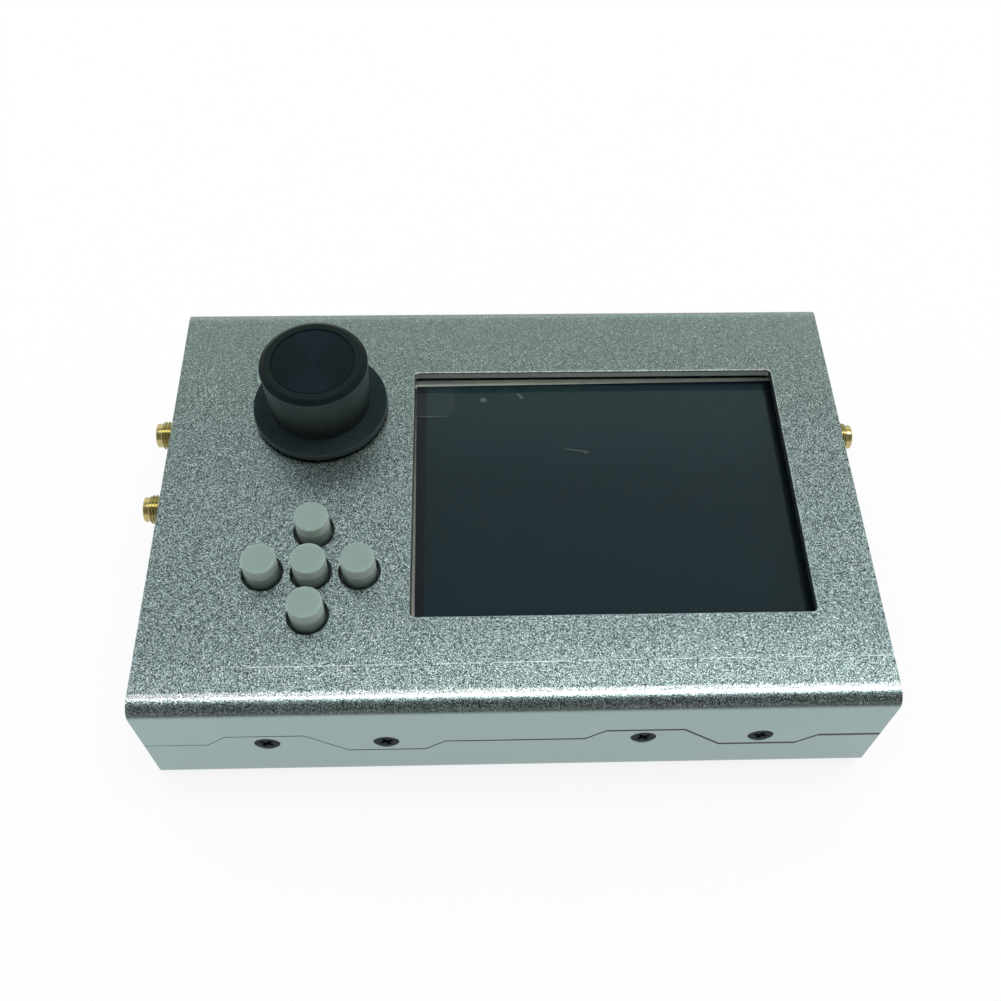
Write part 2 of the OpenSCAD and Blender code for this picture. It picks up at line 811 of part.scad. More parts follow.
module battery_leads() color("firebrick")
    for (side = [-1, 1]) translate([0, lead_y + side * lead_pitch / 2, lead_z]) {
        rod_x(lead_d, battery_w / 2, plug_x);
        translate([plug_x, 0, 0]) {
            sphere(d = lead_d);
            cylinder(d = lead_d, h = plug_z - lead_z);
        }
    }

module battery_plug() color("white") translate([plug_x, lead_y, plug_z]) brick(plug_len, plug_w, plug_h);

// Sockets and switches at the ends

module usb_socket() color("lightgray")
    translate([usb_len / 2 - usb_mouth, usb_y, radio_top + usb_h / 2]) difference() {
        along_x(usb_len) rounded_rect(usb_w, usb_h, 2 * usb_wall);
        translate([-2 * usb_wall, 0, 0])
            along_x(usb_len) rounded_rect(usb_w - 2 * usb_wall, usb_h - 2 * usb_wall, usb_wall);
    }

module usb_tongue() color("black") {
    tongue_len = usb_len - 4 * usb_wall;
    back_x = usb_len - 2 * usb_wall - usb_mouth;
    translate([back_x - tongue_len / 2, usb_y, radio_top + usb_h / 2 - usb_tongue_t / 2])
        brick(tongue_len, usb_tongue_w, usb_tongue_t);
}

module card_socket() color("silver")
    translate([card_len / 2 - panel_in_x + slack, card_y, control_z - card_h]) difference() {
        brick(card_len, card_w, card_h);
        translate([-card_wall, 0, card_wall])
            brick(card_len, card_w - 2 * card_side, card_h - 2 * card_wall);
    }

module audio_jack() color("#202020") translate([0, jack_y, jack_z]) difference() {
    union() {
        block([board_edge_x - jack_len, -jack_w / 2, -jack_h / 2], [board_edge_x, jack_w / 2, jack_h / 2]);
        rod_x(jack_nose_d, board_edge_x - past, jack_mouth);
    }
    rod_x(jack_bore_d, jack_mouth - jack_depth, end_x);
}

module end_switch(y) color("gray") translate([end_switch_x, y, end_switch_z]) difference() {
    block([-end_switch_len, -end_switch_w / 2, -end_switch_h / 2], [0, end_switch_w / 2, end_switch_h / 2]);
    rod_x(end_plunger_d + 2 * fit, -end_plunger_in - 2 * end_plunger_travel, past);
}

module end_plunger(y) color("black") translate([0, y, end_switch_z])
    rod_x(end_plunger_d, end_switch_x - end_plunger_in, panel_out_x + end_plunger_reach);

// Radio sockets: drawn for the right end, mirrored for the left end

module at_socket(side, y) mirror([side < 0 ? 1 : 0, 0, 0]) translate([0, y, sma_z]) children();

// Legs above and below the radio board
module sma_legs() {
    leg_y = (sma_flange_w - sma_leg_w) / 2;
    leg_len = sma_leg_len + past;
    top_z = radio_top - sma_z + fit;
    low_z = radio_board_z - sma_z - fit - sma_leg_w;
    for (y = [-leg_y, leg_y], z = [top_z, low_z])
        translate([board_edge_x + past - leg_len / 2, y, z]) brick(leg_len, sma_leg_w, sma_leg_w);
}

module sma_body() color("goldenrod") {
    thread_x = panel_out_x + 2 * slack;
    nose_x = sma_end_x - sma_nose_len;
    lead_in = (sma_d - sma_nose_d) / 2;
    difference() {
        union() {
            translate([board_edge_x + sma_flange_t / 2, 0, -sma_d / 2])
                brick(sma_flange_t, sma_flange_w, sma_d);
            rod_x(sma_nose_d, board_edge_x + past, thread_x + past);
            rod_x(sma_d, thread_x, nose_x - lead_in);
            translate([nose_x - lead_in, 0, 0]) rotate([0, 90, 0])
                cylinder(d1 = sma_d, d2 = sma_nose_d, h = lead_in);
            rod_x(sma_nose_d, nose_x - past, sma_end_x);
            sma_legs();
        }
        rod_x(sma_bore_d, board_edge_x - past, sma_end_x + past);
    }
}

module sma_insulator() color("white") difference() {
    rod_x(sma_bore_d - fit, board_edge_x + fit, sma_end_x - sma_face);
    rod_x(sma_contact_d + fit, board_edge_x - past, sma_end_x);
}

module sma_contact() color("gold") difference() {
    rod_x(sma_contact_d, board_edge_x - sma_tail, sma_end_x - sma_face);
    rod_x(sma_pin_bore_d, sma_end_x - 2 * sma_face, sma_end_x);
}

// Shield and chips

module rf_shield() color("lightgray") translate([shield_x, shield_y, radio_top]) difference() {
    brick(shield_w, shield_d, shield_h);
    translate([0, 0, -shield_wall]) brick(shield_w - 2 * shield_wall, shield_d - 2 * shield_wall, shield_h);
}

module radio_chips() color("black")
    for (at = radio_chip_places) translate([at[0], at[1], radio_top]) brick(at[2], at[2], at[3]);

module control_chips() color("black")
    for (at = control_chip_places) translate([at[0], at[1], control_z - at[3]]) brick(at[2], at[2], at[3]);

upper_shell();
lower_shell();
left_end_panel();
right_end_panel();
case_screws();
display_frame();
display_panel();
touch_glass();
display_flex();
flex_connector();
control_board();
radio_board();
header_sockets();
header_plugs();
lower_standoffs();
upper_standoffs();
board_screws();
encoder_body();
encoder_shaft();
knob();
for (place = button_places) {
    button(place);
    key_plunger(place);
    key_switch(place);
}
battery_cell();
battery_pad();
battery_leads();
battery_plug();
usb_socket();
usb_tongue();
card_socket();
audio_jack();
end_switch(reset_y);  // reset_switch
end_plunger(reset_y);  // reset_plunger
end_switch(update_y);  // update_switch
end_plunger(update_y);  // update_plunger
at_socket(1, antenna_y) sma_body();  // antenna_sma_body
at_socket(1, antenna_y) sma_insulator();  // antenna_sma_insulator
at_socket(1, antenna_y) sma_contact();  // antenna_sma_contact
at_socket(-1, clock_in_y) sma_body();  // clock_in_sma_body
at_socket(-1, clock_in_y) sma_insulator();  // clock_in_sma_insulator
at_socket(-1, clock_in_y) sma_contact();  // clock_in_sma_contact
at_socket(-1, clock_out_y) sma_body();  // clock_out_sma_body
at_socket(-1, clock_out_y) sma_insulator();  // clock_out_sma_insulator
at_socket(-1, clock_out_y) sma_contact();  // clock_out_sma_contact
rf_shield();
radio_chips();
control_chips();
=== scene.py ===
# %% [markdown]
# A hand-held software-defined radio
# This lesson dresses a small radio: a two-shell aluminium case with a screen, a tuning knob, a cross
# of grey buttons and gold sockets at both ends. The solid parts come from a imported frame, in metres.
# We keep every solid that already has the right shape and only give it a finish, and we work out new
# surfaces with numpy where the real piece has a finer form than its solid.

# %% Load the frame
import math

import bmesh
import bpy
import numpy as np
from mathutils import Matrix, Vector


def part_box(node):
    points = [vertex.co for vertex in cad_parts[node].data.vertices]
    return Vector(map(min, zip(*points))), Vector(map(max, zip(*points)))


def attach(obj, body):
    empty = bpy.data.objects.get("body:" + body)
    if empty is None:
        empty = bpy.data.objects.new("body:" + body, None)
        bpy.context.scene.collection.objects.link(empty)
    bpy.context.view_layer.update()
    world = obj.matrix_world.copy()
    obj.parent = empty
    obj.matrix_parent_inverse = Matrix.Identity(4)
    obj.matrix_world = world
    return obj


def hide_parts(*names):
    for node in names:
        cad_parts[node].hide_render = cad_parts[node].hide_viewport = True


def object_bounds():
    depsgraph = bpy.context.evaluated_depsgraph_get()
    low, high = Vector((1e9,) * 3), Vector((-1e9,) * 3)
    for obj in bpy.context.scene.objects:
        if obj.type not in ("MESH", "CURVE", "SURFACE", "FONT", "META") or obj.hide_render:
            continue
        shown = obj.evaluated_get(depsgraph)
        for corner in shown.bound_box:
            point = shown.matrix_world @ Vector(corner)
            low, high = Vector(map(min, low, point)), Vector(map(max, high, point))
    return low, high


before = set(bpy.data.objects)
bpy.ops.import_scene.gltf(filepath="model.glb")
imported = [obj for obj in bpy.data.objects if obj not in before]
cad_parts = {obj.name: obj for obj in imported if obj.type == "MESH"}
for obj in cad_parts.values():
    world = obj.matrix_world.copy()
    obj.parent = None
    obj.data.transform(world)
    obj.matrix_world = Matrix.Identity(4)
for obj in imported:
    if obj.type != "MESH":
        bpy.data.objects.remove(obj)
cad_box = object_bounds()
scene = bpy.context.scene
scene.view_settings.view_transform = "Standard"
MM = 0.001
print("solids in the frame:", len(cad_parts))

# %% [markdown]
# The camera
# The camera stands where the picture was taken from: in front of the radio, a hand's span above it,
# looking steeply down. Its place and turn were found from the corners of the case, so the radio
# fills the frame as it does in the picture. The picture is square.

# %% Place the camera
CAMERA_AT = Vector((-7.779, -129.803, 223.606)) * MM
CAMERA_PITCH = math.radians(56.73)
CAMERA_YAW = math.radians(2.62)
CAMERA_ROLL = math.radians(1.51)
FOCAL_PIXELS = 1133.05
IMAGE_PIXELS = 1001
SENSOR_MM = 36
CLIP_START = 10


def camera_axes(pitch, yaw, roll):
    """Right, up and forward: forward looks down by the pitch, and the other two turn by the roll about
    it."""
    forward = Vector((math.sin(yaw) * math.cos(pitch), math.cos(yaw) * math.cos(pitch), -math.sin(pitch)))
    level = Vector((math.cos(yaw), -math.sin(yaw), 0))
    upright = level.cross(forward)
    right = math.cos(roll) * level + math.sin(roll) * upright
    up = math.cos(roll) * upright - math.sin(roll) * level
    return right, up, forward


right, up, forward = camera_axes(CAMERA_PITCH, CAMERA_YAW, CAMERA_ROLL)
camera = bpy.data.objects.new("camera", bpy.data.cameras.new("camera"))
camera.data.sensor_width = SENSOR_MM
camera.data.lens = SENSOR_MM * FOCAL_PIXELS / IMAGE_PIXELS
camera.data.clip_start = CLIP_START * MM
camera.matrix_world = Matrix.Translation(CAMERA_AT) @ Matrix((right, up, -forward)).transposed().to_4x4()
scene.collection.objects.link(camera)
scene.camera = camera
print("camera lens in millimetres:", round(camera.data.lens, 2))

# %% [markdown]
# Surfaces from numbers
# Every new piece is a grid of points: its rows follow a profile and its columns run round and meet.
# The whole grid is one array, so the shape is a formula and not a list of points. Rows that shrink to
# a single point, at a pole, are merged afterwards, which closes the surface.

# %% Helpers that turn grids into pieces
SHARP_ANGLE = math.radians(32)
MERGE_DISTANCE = 1e-7


def grid_faces(rows, columns):
    """Quads of a grid: each point joins its neighbour round the row and the same two points one row
    on."""
    row, column = np.meshgrid(np.arange(rows - 1), np.arange(columns), indexing="ij")
    here = row * columns + column
    beside = row * columns + (column + 1) % columns
    return np.stack([here, beside, beside + columns, here + columns], -1).reshape(-1, 4)


def mesh_from_grids(name, grids):
    """One mesh of one or more grids, with poles and seams merged and every shell facing outwards."""
    starts = np.cumsum([0] + [grid.shape[0] * grid.shape[1] for grid in grids])
    faces = np.concatenate([grid_faces(*grid.shape[:2]) + start for grid, start in zip(grids, starts)])
    mesh = bpy.data.meshes.new(name)
    mesh.from_pydata(np.concatenate([grid.reshape(-1, 3) for grid in grids]).tolist(), [], faces.tolist())
    shell = bmesh.new()
    shell.from_mesh(mesh)
    bmesh.ops.remove_doubles(shell, verts=shell.verts, dist=MERGE_DISTANCE)
    bmesh.ops.recalc_face_normals(shell, faces=shell.faces)
    shell.to_mesh(mesh)
    shell.free()
    mesh.shade_smooth()
    mesh.set_sharp_from_angle(angle=SHARP_ANGLE)
    return mesh


def add_piece(name, grids, body, replaces=()):
    """A piece from its grids, in millimetres, that rides on a body and may stand for solids of the
    frame."""
    piece = bpy.data.objects.new(name, mesh_from_grids(name, [grid * MM for grid in grids]))
    scene.collection.objects.link(piece)
    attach(piece, body)
    if replaces:
        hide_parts(*replaces)
    print(name, "has", len(piece.data.polygons), "faces")
    return piece


def eased(corners, steps=6):
    """A profile from corner points (a, b, ease): each corner with an ease is cut back by that length on
    both sides and bridged by a parabola, the other corners stay sharp."""
    points = np.array([corner[:2] for corner in corners], float)
    along = np.linspace(0, 1, steps)[:, None]
    rows = [points[:1]]
    for before, corner, after, (_, _, ease) in zip(points, points[1:], points[2:], corners[1:-1]):
        start = corner + (before - corner) / np.linalg.norm(before - corner) * ease
        end = corner + (after - corner) / np.linalg.norm(after - corner) * ease
        bridge = (1 - along) ** 2 * start + 2 * along * (1 - along) * corner + along ** 2 * end
        rows.append(bridge if ease else corner[None])
    return np.concatenate(rows + [points[-1:]])


def turned(profile, sides, centre):
    """A profile of radius and height turned about an upright line: x and y go round, z is the height."""
    angle = np.linspace(0, 2 * np.pi, sides, endpoint=False)
    radius, height = profile[:, :1], profile[:, 1:]
    ring = [radius * np.cos(angle), radius * np.sin(angle), np.repeat(height, sides, axis=1)]
    return np.stack(ring, -1) + np.asarray(centre)


def box_mm(node):
    """The lowest and highest corner of a solid of the frame, in millimetres."""
    low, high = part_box(node)
    return np.array(low) / MM, np.array(high) / MM


case_low, case_high = box_mm("upper_shell")
CASE_TOP = case_high[2]
CASE_FRONT = case_low[1]
print("top of the case at", round(float(CASE_TOP), 2), "mm")

# %% [markdown]
# The tuning knob
# The knob is turned from black aluminium: a thin flange that rises to the foot, a body that widens a
# little upwards, a sloped edge, a flat ring, a narrow groove and a spun disc. A lathe cuts a profile
# as the work turns, so the knob is a profile of radius and height carried round its axis. Small eases
# on the corners catch light as real broken edges do. Below, it is hollow round a hub that sits on the
# shaft.

# %% Turn the knob
KNOB_BODY_R = 11.05
KNOB_TAPER = 0.55
KNOB_FLANGE_T = 1.5
KNOB_FLANGE_RISE = 0.6
KNOB_SLOPE_W = 1.1
KNOB_SLOPE_H = 0.75
KNOB_RING_W = 1.35
KNOB_GROOVE = 0.3
KNOB_DISC_DROP = 0.15
KNOB_WALL = 2
KNOB_ROOF = 3.5
KNOB_BORE_R = 3.05
KNOB_HUB_RISE = 1
KNOB_RIM_EASES = (0.25, 0.28)
KNOB_FOOT_EASE = 0.4
KNOB_SLOPE_EASES = (0.16, 0.14)
KNOB_GROOVE_EASES = (0.06, 0.05)
KNOB_SIDES = 192

knob_low, knob_high = box_mm("knob")
knob_axis = (knob_low + knob_high) / 2
knob_foot_z = knob_low[2] + KNOB_FLANGE_T + KNOB_FLANGE_RISE


def knob_profile():
    """Radius and height from the roof of the hollow, under the flange, up the body and over the top to
    the axis."""
    flange_r = (knob_high[0] - knob_low[0]) / 2
    foot, top = knob_low[2], knob_high[2]
    roof, disc = top - KNOB_ROOF, top - KNOB_DISC_DROP
    hub_r, hub_foot = KNOB_BORE_R + KNOB_WALL, foot + KNOB_HUB_RISE
    skirt_r = KNOB_BODY_R - KNOB_WALL
    shoulder = foot + KNOB_FLANGE_T
    ring_r = KNOB_BODY_R - KNOB_SLOPE_W
    groove_r = ring_r - KNOB_RING_W
    disc_r = groove_r - KNOB_GROOVE
    return eased([
        (0, roof, 0), (KNOB_BORE_R, roof, 0), (KNOB_BORE_R, hub_foot, 0), (hub_r, hub_foot, 0),
        (hub_r, roof, 0),
        (skirt_r, roof, 0), (skirt_r, foot, 0),
        (flange_r, foot, KNOB_RIM_EASES[0]), (flange_r, shoulder, KNOB_RIM_EASES[1]),
        (KNOB_BODY_R - KNOB_TAPER, knob_foot_z, KNOB_FOOT_EASE),
        (KNOB_BODY_R, top - KNOB_SLOPE_H, KNOB_SLOPE_EASES[0]), (ring_r, top, KNOB_SLOPE_EASES[1]),
        (groove_r, top, KNOB_GROOVE_EASES[0]), (groove_r, top - KNOB_GROOVE, KNOB_GROOVE_EASES[1]),
        (disc_r, top - KNOB_GROOVE, KNOB_GROOVE_EASES[1]), (disc_r, disc, KNOB_GROOVE_EASES[0]),
        (0, disc, 0)])


knob = add_piece("tuning_knob_turned", [turned(knob_profile(), KNOB_SIDES, (*knob_axis[:2], 0))],
                 "tuning_knob", ["knob"])

# %% [markdown]
# The five buttons
# Each button is a small moulded peg with a rounded upper edge. A wider flange under the top plate
# keeps it in its hole, and a socket below takes the plunger of the key switch. One profile serves all
# five: only the axis differs, and each rides on its own key so that it can be pressed by itself.

# %% Mould the buttons
KEYS = ["up", "down", "left", "right", "select"]
BUTTON_R = 3.375
BUTTON_EDGE = 0.42
BUTTON_KEEPER_T = 0.7
BUTTON_KEEPER_EASE = 0.1
BUTTON_EASE_STEPS = 9
BUTTON_SOCKET_R = 1.75
BUTTON_SOCKET_H = 0.9
BUTTON_SIDES = 96


def button_profile(low, high):
    """Radius and height from the socket's roof, round the keeper flange and up to a softly rounded
    top."""
    keeper_r = (high[0] - low[0]) / 2
    foot, top = low[2], high[2]
    roof, shoulder = foot + BUTTON_SOCKET_H, foot + BUTTON_KEEPER_T
    return eased([
        (0, roof, 0), (BUTTON_SOCKET_R, roof, 0), (BUTTON_SOCKET_R, foot, 0),
        (keeper_r, foot, BUTTON_KEEPER_EASE), (keeper_r, shoulder, BUTTON_KEEPER_EASE),
        (BUTTON_R, shoulder, BUTTON_KEEPER_EASE), (BUTTON_R, top, BUTTON_EDGE), (0, top, 0)],
        steps=BUTTON_EASE_STEPS)


buttons = []
for key in KEYS:
    low, high = box_mm(f"{key}_button")
    axis = (low + high) / 2
    grid = turned(button_profile(low, high), BUTTON_SIDES, (*axis[:2], 0))
    buttons.append(add_piece(f"{key}_button_moulded", [grid], f"{key}_key", [f"{key}_button"]))

# %% [markdown]
# The gold sockets
# Each radio socket is a turned brass barrel, gold plated, with a fine screw thread outside, a plain
# nose and a bore that holds a white insulator. The thread is a helix: its height depends on how far
# the point lies along the axis less its share of a turn, so one formula gives every ridge. Turning
# the left sockets half round, and not mirroring them, keeps their threads right-handed.

# %% Cut the threads of the sockets
SOCKETS = {"antenna": 1, "clock_in": -1, "clock_out": -1}
THREAD_R = 3.175
THREAD_PITCH = 0.7056
THREAD_DEPTH = 0.32
THREAD_LENGTH = 6.85
THREAD_STEP = 0.045
THREAD_FLANK = 1.3
THREAD_FLAT = 0.15
NECK_R = 2.7
NOSE_R = 2.7
NOSE_LENGTH = 1.3
NOSE_EASE = 0.3
BORE_EASE = 0.1
SOCKET_BORE_R = 2.3
SOCKET_FLANGE_T = 1.6
SOCKET_FLANGE_W = 8
LEG_SIZE = 1.1
LEG_LENGTH = 3.6
LEG_CLEARANCE = 0.05
SOCKET_SIDES = 72
NEARLY_NOUGHT = 1e-6


def thread_radius(along, angle, start, end):
    """Radius of a cut thread: a flattened saw of the distance along, in pitches, less the share of a
    turn. At both ends the thread is chamfered at 45 degrees down to its root."""
    phase = np.mod(along / THREAD_PITCH - angle / (2 * np.pi), 1)
    ridge = np.clip(THREAD_FLANK * np.abs(2 * phase - 1) - THREAD_FLAT, 0, 1)
    radius = THREAD_R - THREAD_DEPTH * (1 - ridge)
    chamfer = THREAD_R - THREAD_DEPTH + np.minimum(along - start, end - along)
    return np.minimum(radius, chamfer)


def socket_grid(back, tip):
    """Distance along the axis and radius, from the bore's back end round the square flange, the thread
    and the nose and back down the bore. The flange's radius is the nearest side of a rectangle at each
    angle."""
    angle = np.linspace(0, 2 * np.pi, SOCKET_SIDES, endpoint=False)
    flange = back + SOCKET_FLANGE_T
    thread_end = tip - NOSE_LENGTH
    thread_start = thread_end - THREAD_LENGTH
    square = np.minimum(SOCKET_FLANGE_W / 2 / np.maximum(np.abs(np.cos(angle)), NEARLY_NOUGHT),
                        THREAD_R / np.maximum(np.abs(np.sin(angle)), NEARLY_NOUGHT))
    cut = np.arange(thread_start, thread_end, THREAD_STEP)
    nose = eased([(thread_end, NOSE_R, 0), (tip, NOSE_R, NOSE_EASE),
                  (tip, SOCKET_BORE_R, BORE_EASE), (back, SOCKET_BORE_R, 0)])
    bore, neck = np.full(SOCKET_SIDES, SOCKET_BORE_R), np.full(SOCKET_SIDES, NECK_R)
    radius = np.concatenate([[bore, square, square, neck, neck],
                             thread_radius(cut[:, None], angle, thread_start, thread_end),
                             np.repeat(nose[:, 1:], SOCKET_SIDES, axis=1)])
    along = np.concatenate([[back, back, flange, flange, thread_start], cut, nose[:, 0]])
    along = np.repeat(along[:, None], SOCKET_SIDES, axis=1)
    return np.stack([along, radius * np.cos(angle), radius * np.sin(angle)], -1)


def block_grid(low, high):
    """A block as four rows of four points: a pole, the lower corners, the upper corners and a pole."""
    low, high = np.asarray(low, float), np.asarray(high, float)
    middle = (low + high) / 2
    corners = np.array([[low[0], low[1]], [high[0], low[1]], [high[0], high[1]], [low[0], high[1]]])
    ends = [np.tile(middle[:2], (4, 1)), corners, corners, np.tile(middle[:2], (4, 1))]
    heights = [low[2], low[2], high[2], high[2]]
    return np.stack([np.column_stack([end, np.full(4, height)]) for end, height in zip(ends, heights)])


def leg_grids(back, board_low, board_high):
    """Four square legs behind the flange, two above the board and two below it."""
    side = (SOCKET_FLANGE_W - LEG_SIZE) / 2
    start, end = back - LEG_LENGTH, back + SOCKET_FLANGE_T / 2
    return [block_grid((start, y - LEG_SIZE / 2, z), (end, y + LEG_SIZE / 2, z + LEG_SIZE))
            for y in (-side, side) for z in (board_low - LEG_SIZE, board_high)]


radio_low, radio_high = box_mm("radio_board")
sockets = []
for name, side in SOCKETS.items():
    low, high = box_mm(f"{name}_sma_insulator")
    centre = np.array([0, (low[1] + high[1]) / 2, (low[2] + high[2]) / 2])
    tip = cad_box[1][0] / MM
    back = radio_high[0]
    board_low = radio_low[2] - centre[2] - LEG_CLEARANCE
    board_high = radio_high[2] - centre[2] + LEG_CLEARANCE
    grids = [socket_grid(back, tip), *leg_grids(back, board_low, board_high)]
    half_turn = np.array([side, side, 1])
    sockets.append(add_piece(f"{name}_sma_threaded", [grid * half_turn + centre for grid in grids],
                             "case", [f"{name}_sma_body"]))

# %% [markdown]
# The case screws
# Eight black countersunk screws hold the shells together, four on each long wall. A head is a flat
# disc with a cross punched into it. We treat the face as a height field on a polar grid: the cross is
# the deeper of two soft-edged bars, and everything outside the face is an ordinary turned profile.
# Each screw stops at its own angle, as hand-driven screws do.

# %% Drive the screws
SCREW_HEAD_R = 2.475
SCREW_CORE_R = 1.2
SCREW_LENGTH = 6
SCREW_SINK = 0.1
SCREW_FACE_INSET = 0.16
SCREW_RIM_INSET = 0.15
SCREW_RIM_DROP = 0.02
SCREW_RIM_EASE = 0.07
SCREW_END_EASE = 0.2
SCREW_SIDES = 96
SCREW_FACE_ROWS = 44
CROSS_WIDTH = 0.78
CROSS_REACH = 1.4
CROSS_DEPTH = 0.95
CROSS_EDGE = 0.13
CROSS_TAPER = 0.45
SCREW_PLACES = [-47.6, -24.8, 24.8, 47.6]
SCREW_TURNS = [38, 62, 51, 20]


def smooth_step(value):
    """Zero below nought, one above one, and a smooth cubic between."""
    value = np.clip(value, 0, 1)
    return value * value * (3 - 2 * value)


def cross_depth(radius, angle, turn):
    """Depth of the punched cross: two bars at right angles, soft at their edges and shallower towards
    their tips."""
    across, along = radius * np.cos(angle - turn), radius * np.sin(angle - turn)
    bars = [smooth_step((CROSS_WIDTH / 2 - np.abs(a)) / CROSS_EDGE + 0.5)
            * smooth_step((CROSS_REACH - np.abs(b)) / CROSS_EDGE)
            * (1 - CROSS_TAPER * np.abs(b) / CROSS_REACH)
            for a, b in ((across, along), (along, across))]
    return CROSS_DEPTH * np.maximum(*bars)


def screw_grid(turn):
    """Radius and depth of a screw, from the middle of its face over the rim, down the cone and the shank
    to its end."""
    angle = np.linspace(0, 2 * np.pi, SCREW_SIDES, endpoint=False)
    face_radius = np.linspace(0, SCREW_HEAD_R - SCREW_FACE_INSET, SCREW_FACE_ROWS)
    face = np.column_stack([face_radius, np.zeros(SCREW_FACE_ROWS)])
    stem = eased([(SCREW_HEAD_R - SCREW_RIM_INSET, 0, 0), (SCREW_HEAD_R, SCREW_RIM_DROP, SCREW_RIM_EASE),
                  (SCREW_CORE_R, SCREW_HEAD_R - SCREW_CORE_R, 0),
                  (SCREW_CORE_R, SCREW_LENGTH, SCREW_END_EASE), (0, SCREW_LENGTH, 0)])
    profile = np.concatenate([face, stem])
    radius, depth = profile[:, :1], np.repeat(profile[:, 1:], SCREW_SIDES, axis=1)
    depth[:SCREW_FACE_ROWS] += cross_depth(radius[:SCREW_FACE_ROWS], angle, turn)
    return np.stack([radius * np.cos(angle), depth, radius * np.sin(angle)], -1)


mid_height = case_high[2] / 2
screw_grids = []
for wall in (-1, 1):
    for place, turn in zip(SCREW_PLACES, SCREW_TURNS):
        at = (place, wall * (abs(CASE_FRONT) - SCREW_SINK), mid_height)
        screw_grids.append(screw_grid(math.radians(wall * turn)) * (1, -wall, 1) + at)
screws = add_piece("case_screws_driven", screw_grids, "case", ["case_screws"])

# %% [markdown]
# The touch glass and its film
# The glass is a thin plate with ground edges. Its grid has one row for each step of the section, from
# the middle of the underside round the edge to the middle of the top, and its columns follow a
# rounded rectangle. It stops just short of the dark panel below, so the two faces never lie in one
# plane. A clear film still covers the screen, and its pull tab lies over the rear left corner.

# %% Cut the glass and the film's tab
GLASS_LIFT = 0.02
GLASS_CHAMFER = 0.12
GLASS_CORNER = 1
CORNER_STEPS = 8
CORNER_LEAST = 0.01
TAB_FROM_LEFT = 9.9
TAB_FROM_REAR = 11.2
TAB_CORNER = 2.2
FILM_T = 0.06


def plate_ring(low, high, corner, inset):
    """A rounded rectangle, drawn in by an inset: four quarter arcs, joined by straight sides."""
    angle = np.linspace(0, np.pi / 2, CORNER_STEPS) + np.arange(4)[:, None] * np.pi / 2
    sign_x, sign_y = np.array([1, -1, -1, 1])[:, None], np.array([1, 1, -1, -1])[:, None]
    half = (np.asarray(high[:2]) - np.asarray(low[:2])) / 2
    middle = (np.asarray(high[:2]) + np.asarray(low[:2])) / 2
    radius = max(corner - inset, CORNER_LEAST)
    x = middle[0] + sign_x * (half[0] - corner) + radius * np.cos(angle)
    y = middle[1] + sign_y * (half[1] - corner) + radius * np.sin(angle)
    return np.stack([x.ravel(), y.ravel()], -1)


def plate_grid(low, high, corner, chamfer):
    """A plate: rows at the middle below, the lower edge, the side, the upper edge and the middle
    above."""
    middle = (np.asarray(high[:2]) + np.asarray(low[:2])) / 2
    pole = np.tile(middle, (4 * CORNER_STEPS, 1))
    inner, outer = plate_ring(low, high, corner, chamfer), plate_ring(low, high, corner, 0)
    rows = [(pole, low[2]), (inner, low[2]), (outer, low[2] + chamfer), (outer, high[2] - chamfer),
            (inner, high[2]), (pole, high[2])]
    return np.stack([np.column_stack([ring, np.full(len(ring), z)]) for ring, z in rows])


glass_low, glass_high = box_mm("touch_glass")
glass_low[2] += GLASS_LIFT
glass = add_piece("touch_glass_ground", [plate_grid(glass_low, glass_high, GLASS_CORNER, GLASS_CHAMFER)],
                  "case", ["touch_glass"])
tab_low = np.array([glass_low[0] + GLASS_CORNER / 2, glass_high[1] - TAB_FROM_REAR,
                    glass_high[2] + GLASS_LIFT])
tab_high = np.array([glass_low[0] + TAB_FROM_LEFT, glass_high[1] - GLASS_CORNER / 2, tab_low[2] + FILM_T])
film_tab = add_piece("film_tab", [plate_grid(tab_low, tab_high, TAB_CORNER, FILM_T / 3)],
                     "case")

# %% [markdown]
# The panel and the marks in the film
# The dark panel was glued into its frame by hand and lies half a degree askew, so the pale frame shows
# wider along one end of each side. The film holds a few blisters: a round air bubble, a smear and a
# long crease. Each is a shallow dome over an ellipse, whose height falls with the square of the
# distance from the middle.

# %% Lay the panel and raise the blisters
PANEL_SIZE = np.array([78.9, 60.2])
PANEL_CENTRE = np.array([20.04, -0.62])
PANEL_TURN = math.radians(0.55)
PANEL_CORNER = 0.3
PANEL_CHAMFER = 0.02
BLISTERS = [(-5.1, 24.6, 1.5, 1.3, 0), (3.0, 25.6, 2.2, 0.6, -55),
            (14.6, 10.8, 5.2, 0.26, -10), (16.6, 10.2, 1.3, 0.3, 35)]
BLISTER_RISE = 0.12
BLISTER_ROWS = 10
BLISTER_SIDES = 40


def turned_flat(grid, centre, turn):
    """A grid turned about an upright line through a centre."""
    x, y = grid[..., 0] - centre[0], grid[..., 1] - centre[1]
    return np.stack([centre[0] + x * math.cos(turn) - y * math.sin(turn),
                     centre[1] + x * math.sin(turn) + y * math.cos(turn), grid[..., 2]], -1)


def blister_grid(x, y, length, width, turn, foot):
    """A shallow dome over an ellipse, closed below: the height is the rise times one less the squared
    distance."""
    angle = np.linspace(0, 2 * np.pi, BLISTER_SIDES, endpoint=False)
    reach = np.concatenate([np.linspace(0, 1, BLISTER_ROWS), [0]])[:, None]
    height = np.repeat(BLISTER_RISE * width * (1 - reach ** 2), BLISTER_SIDES, axis=1)
    height[-1] = 0
    outline = [reach * np.cos(angle) * length / 2, reach * np.sin(angle) * width / 2]
    dome = np.stack([*outline, height + foot], -1)
    return turned_flat(dome, (0, 0), math.radians(turn)) + (x, y, 0)


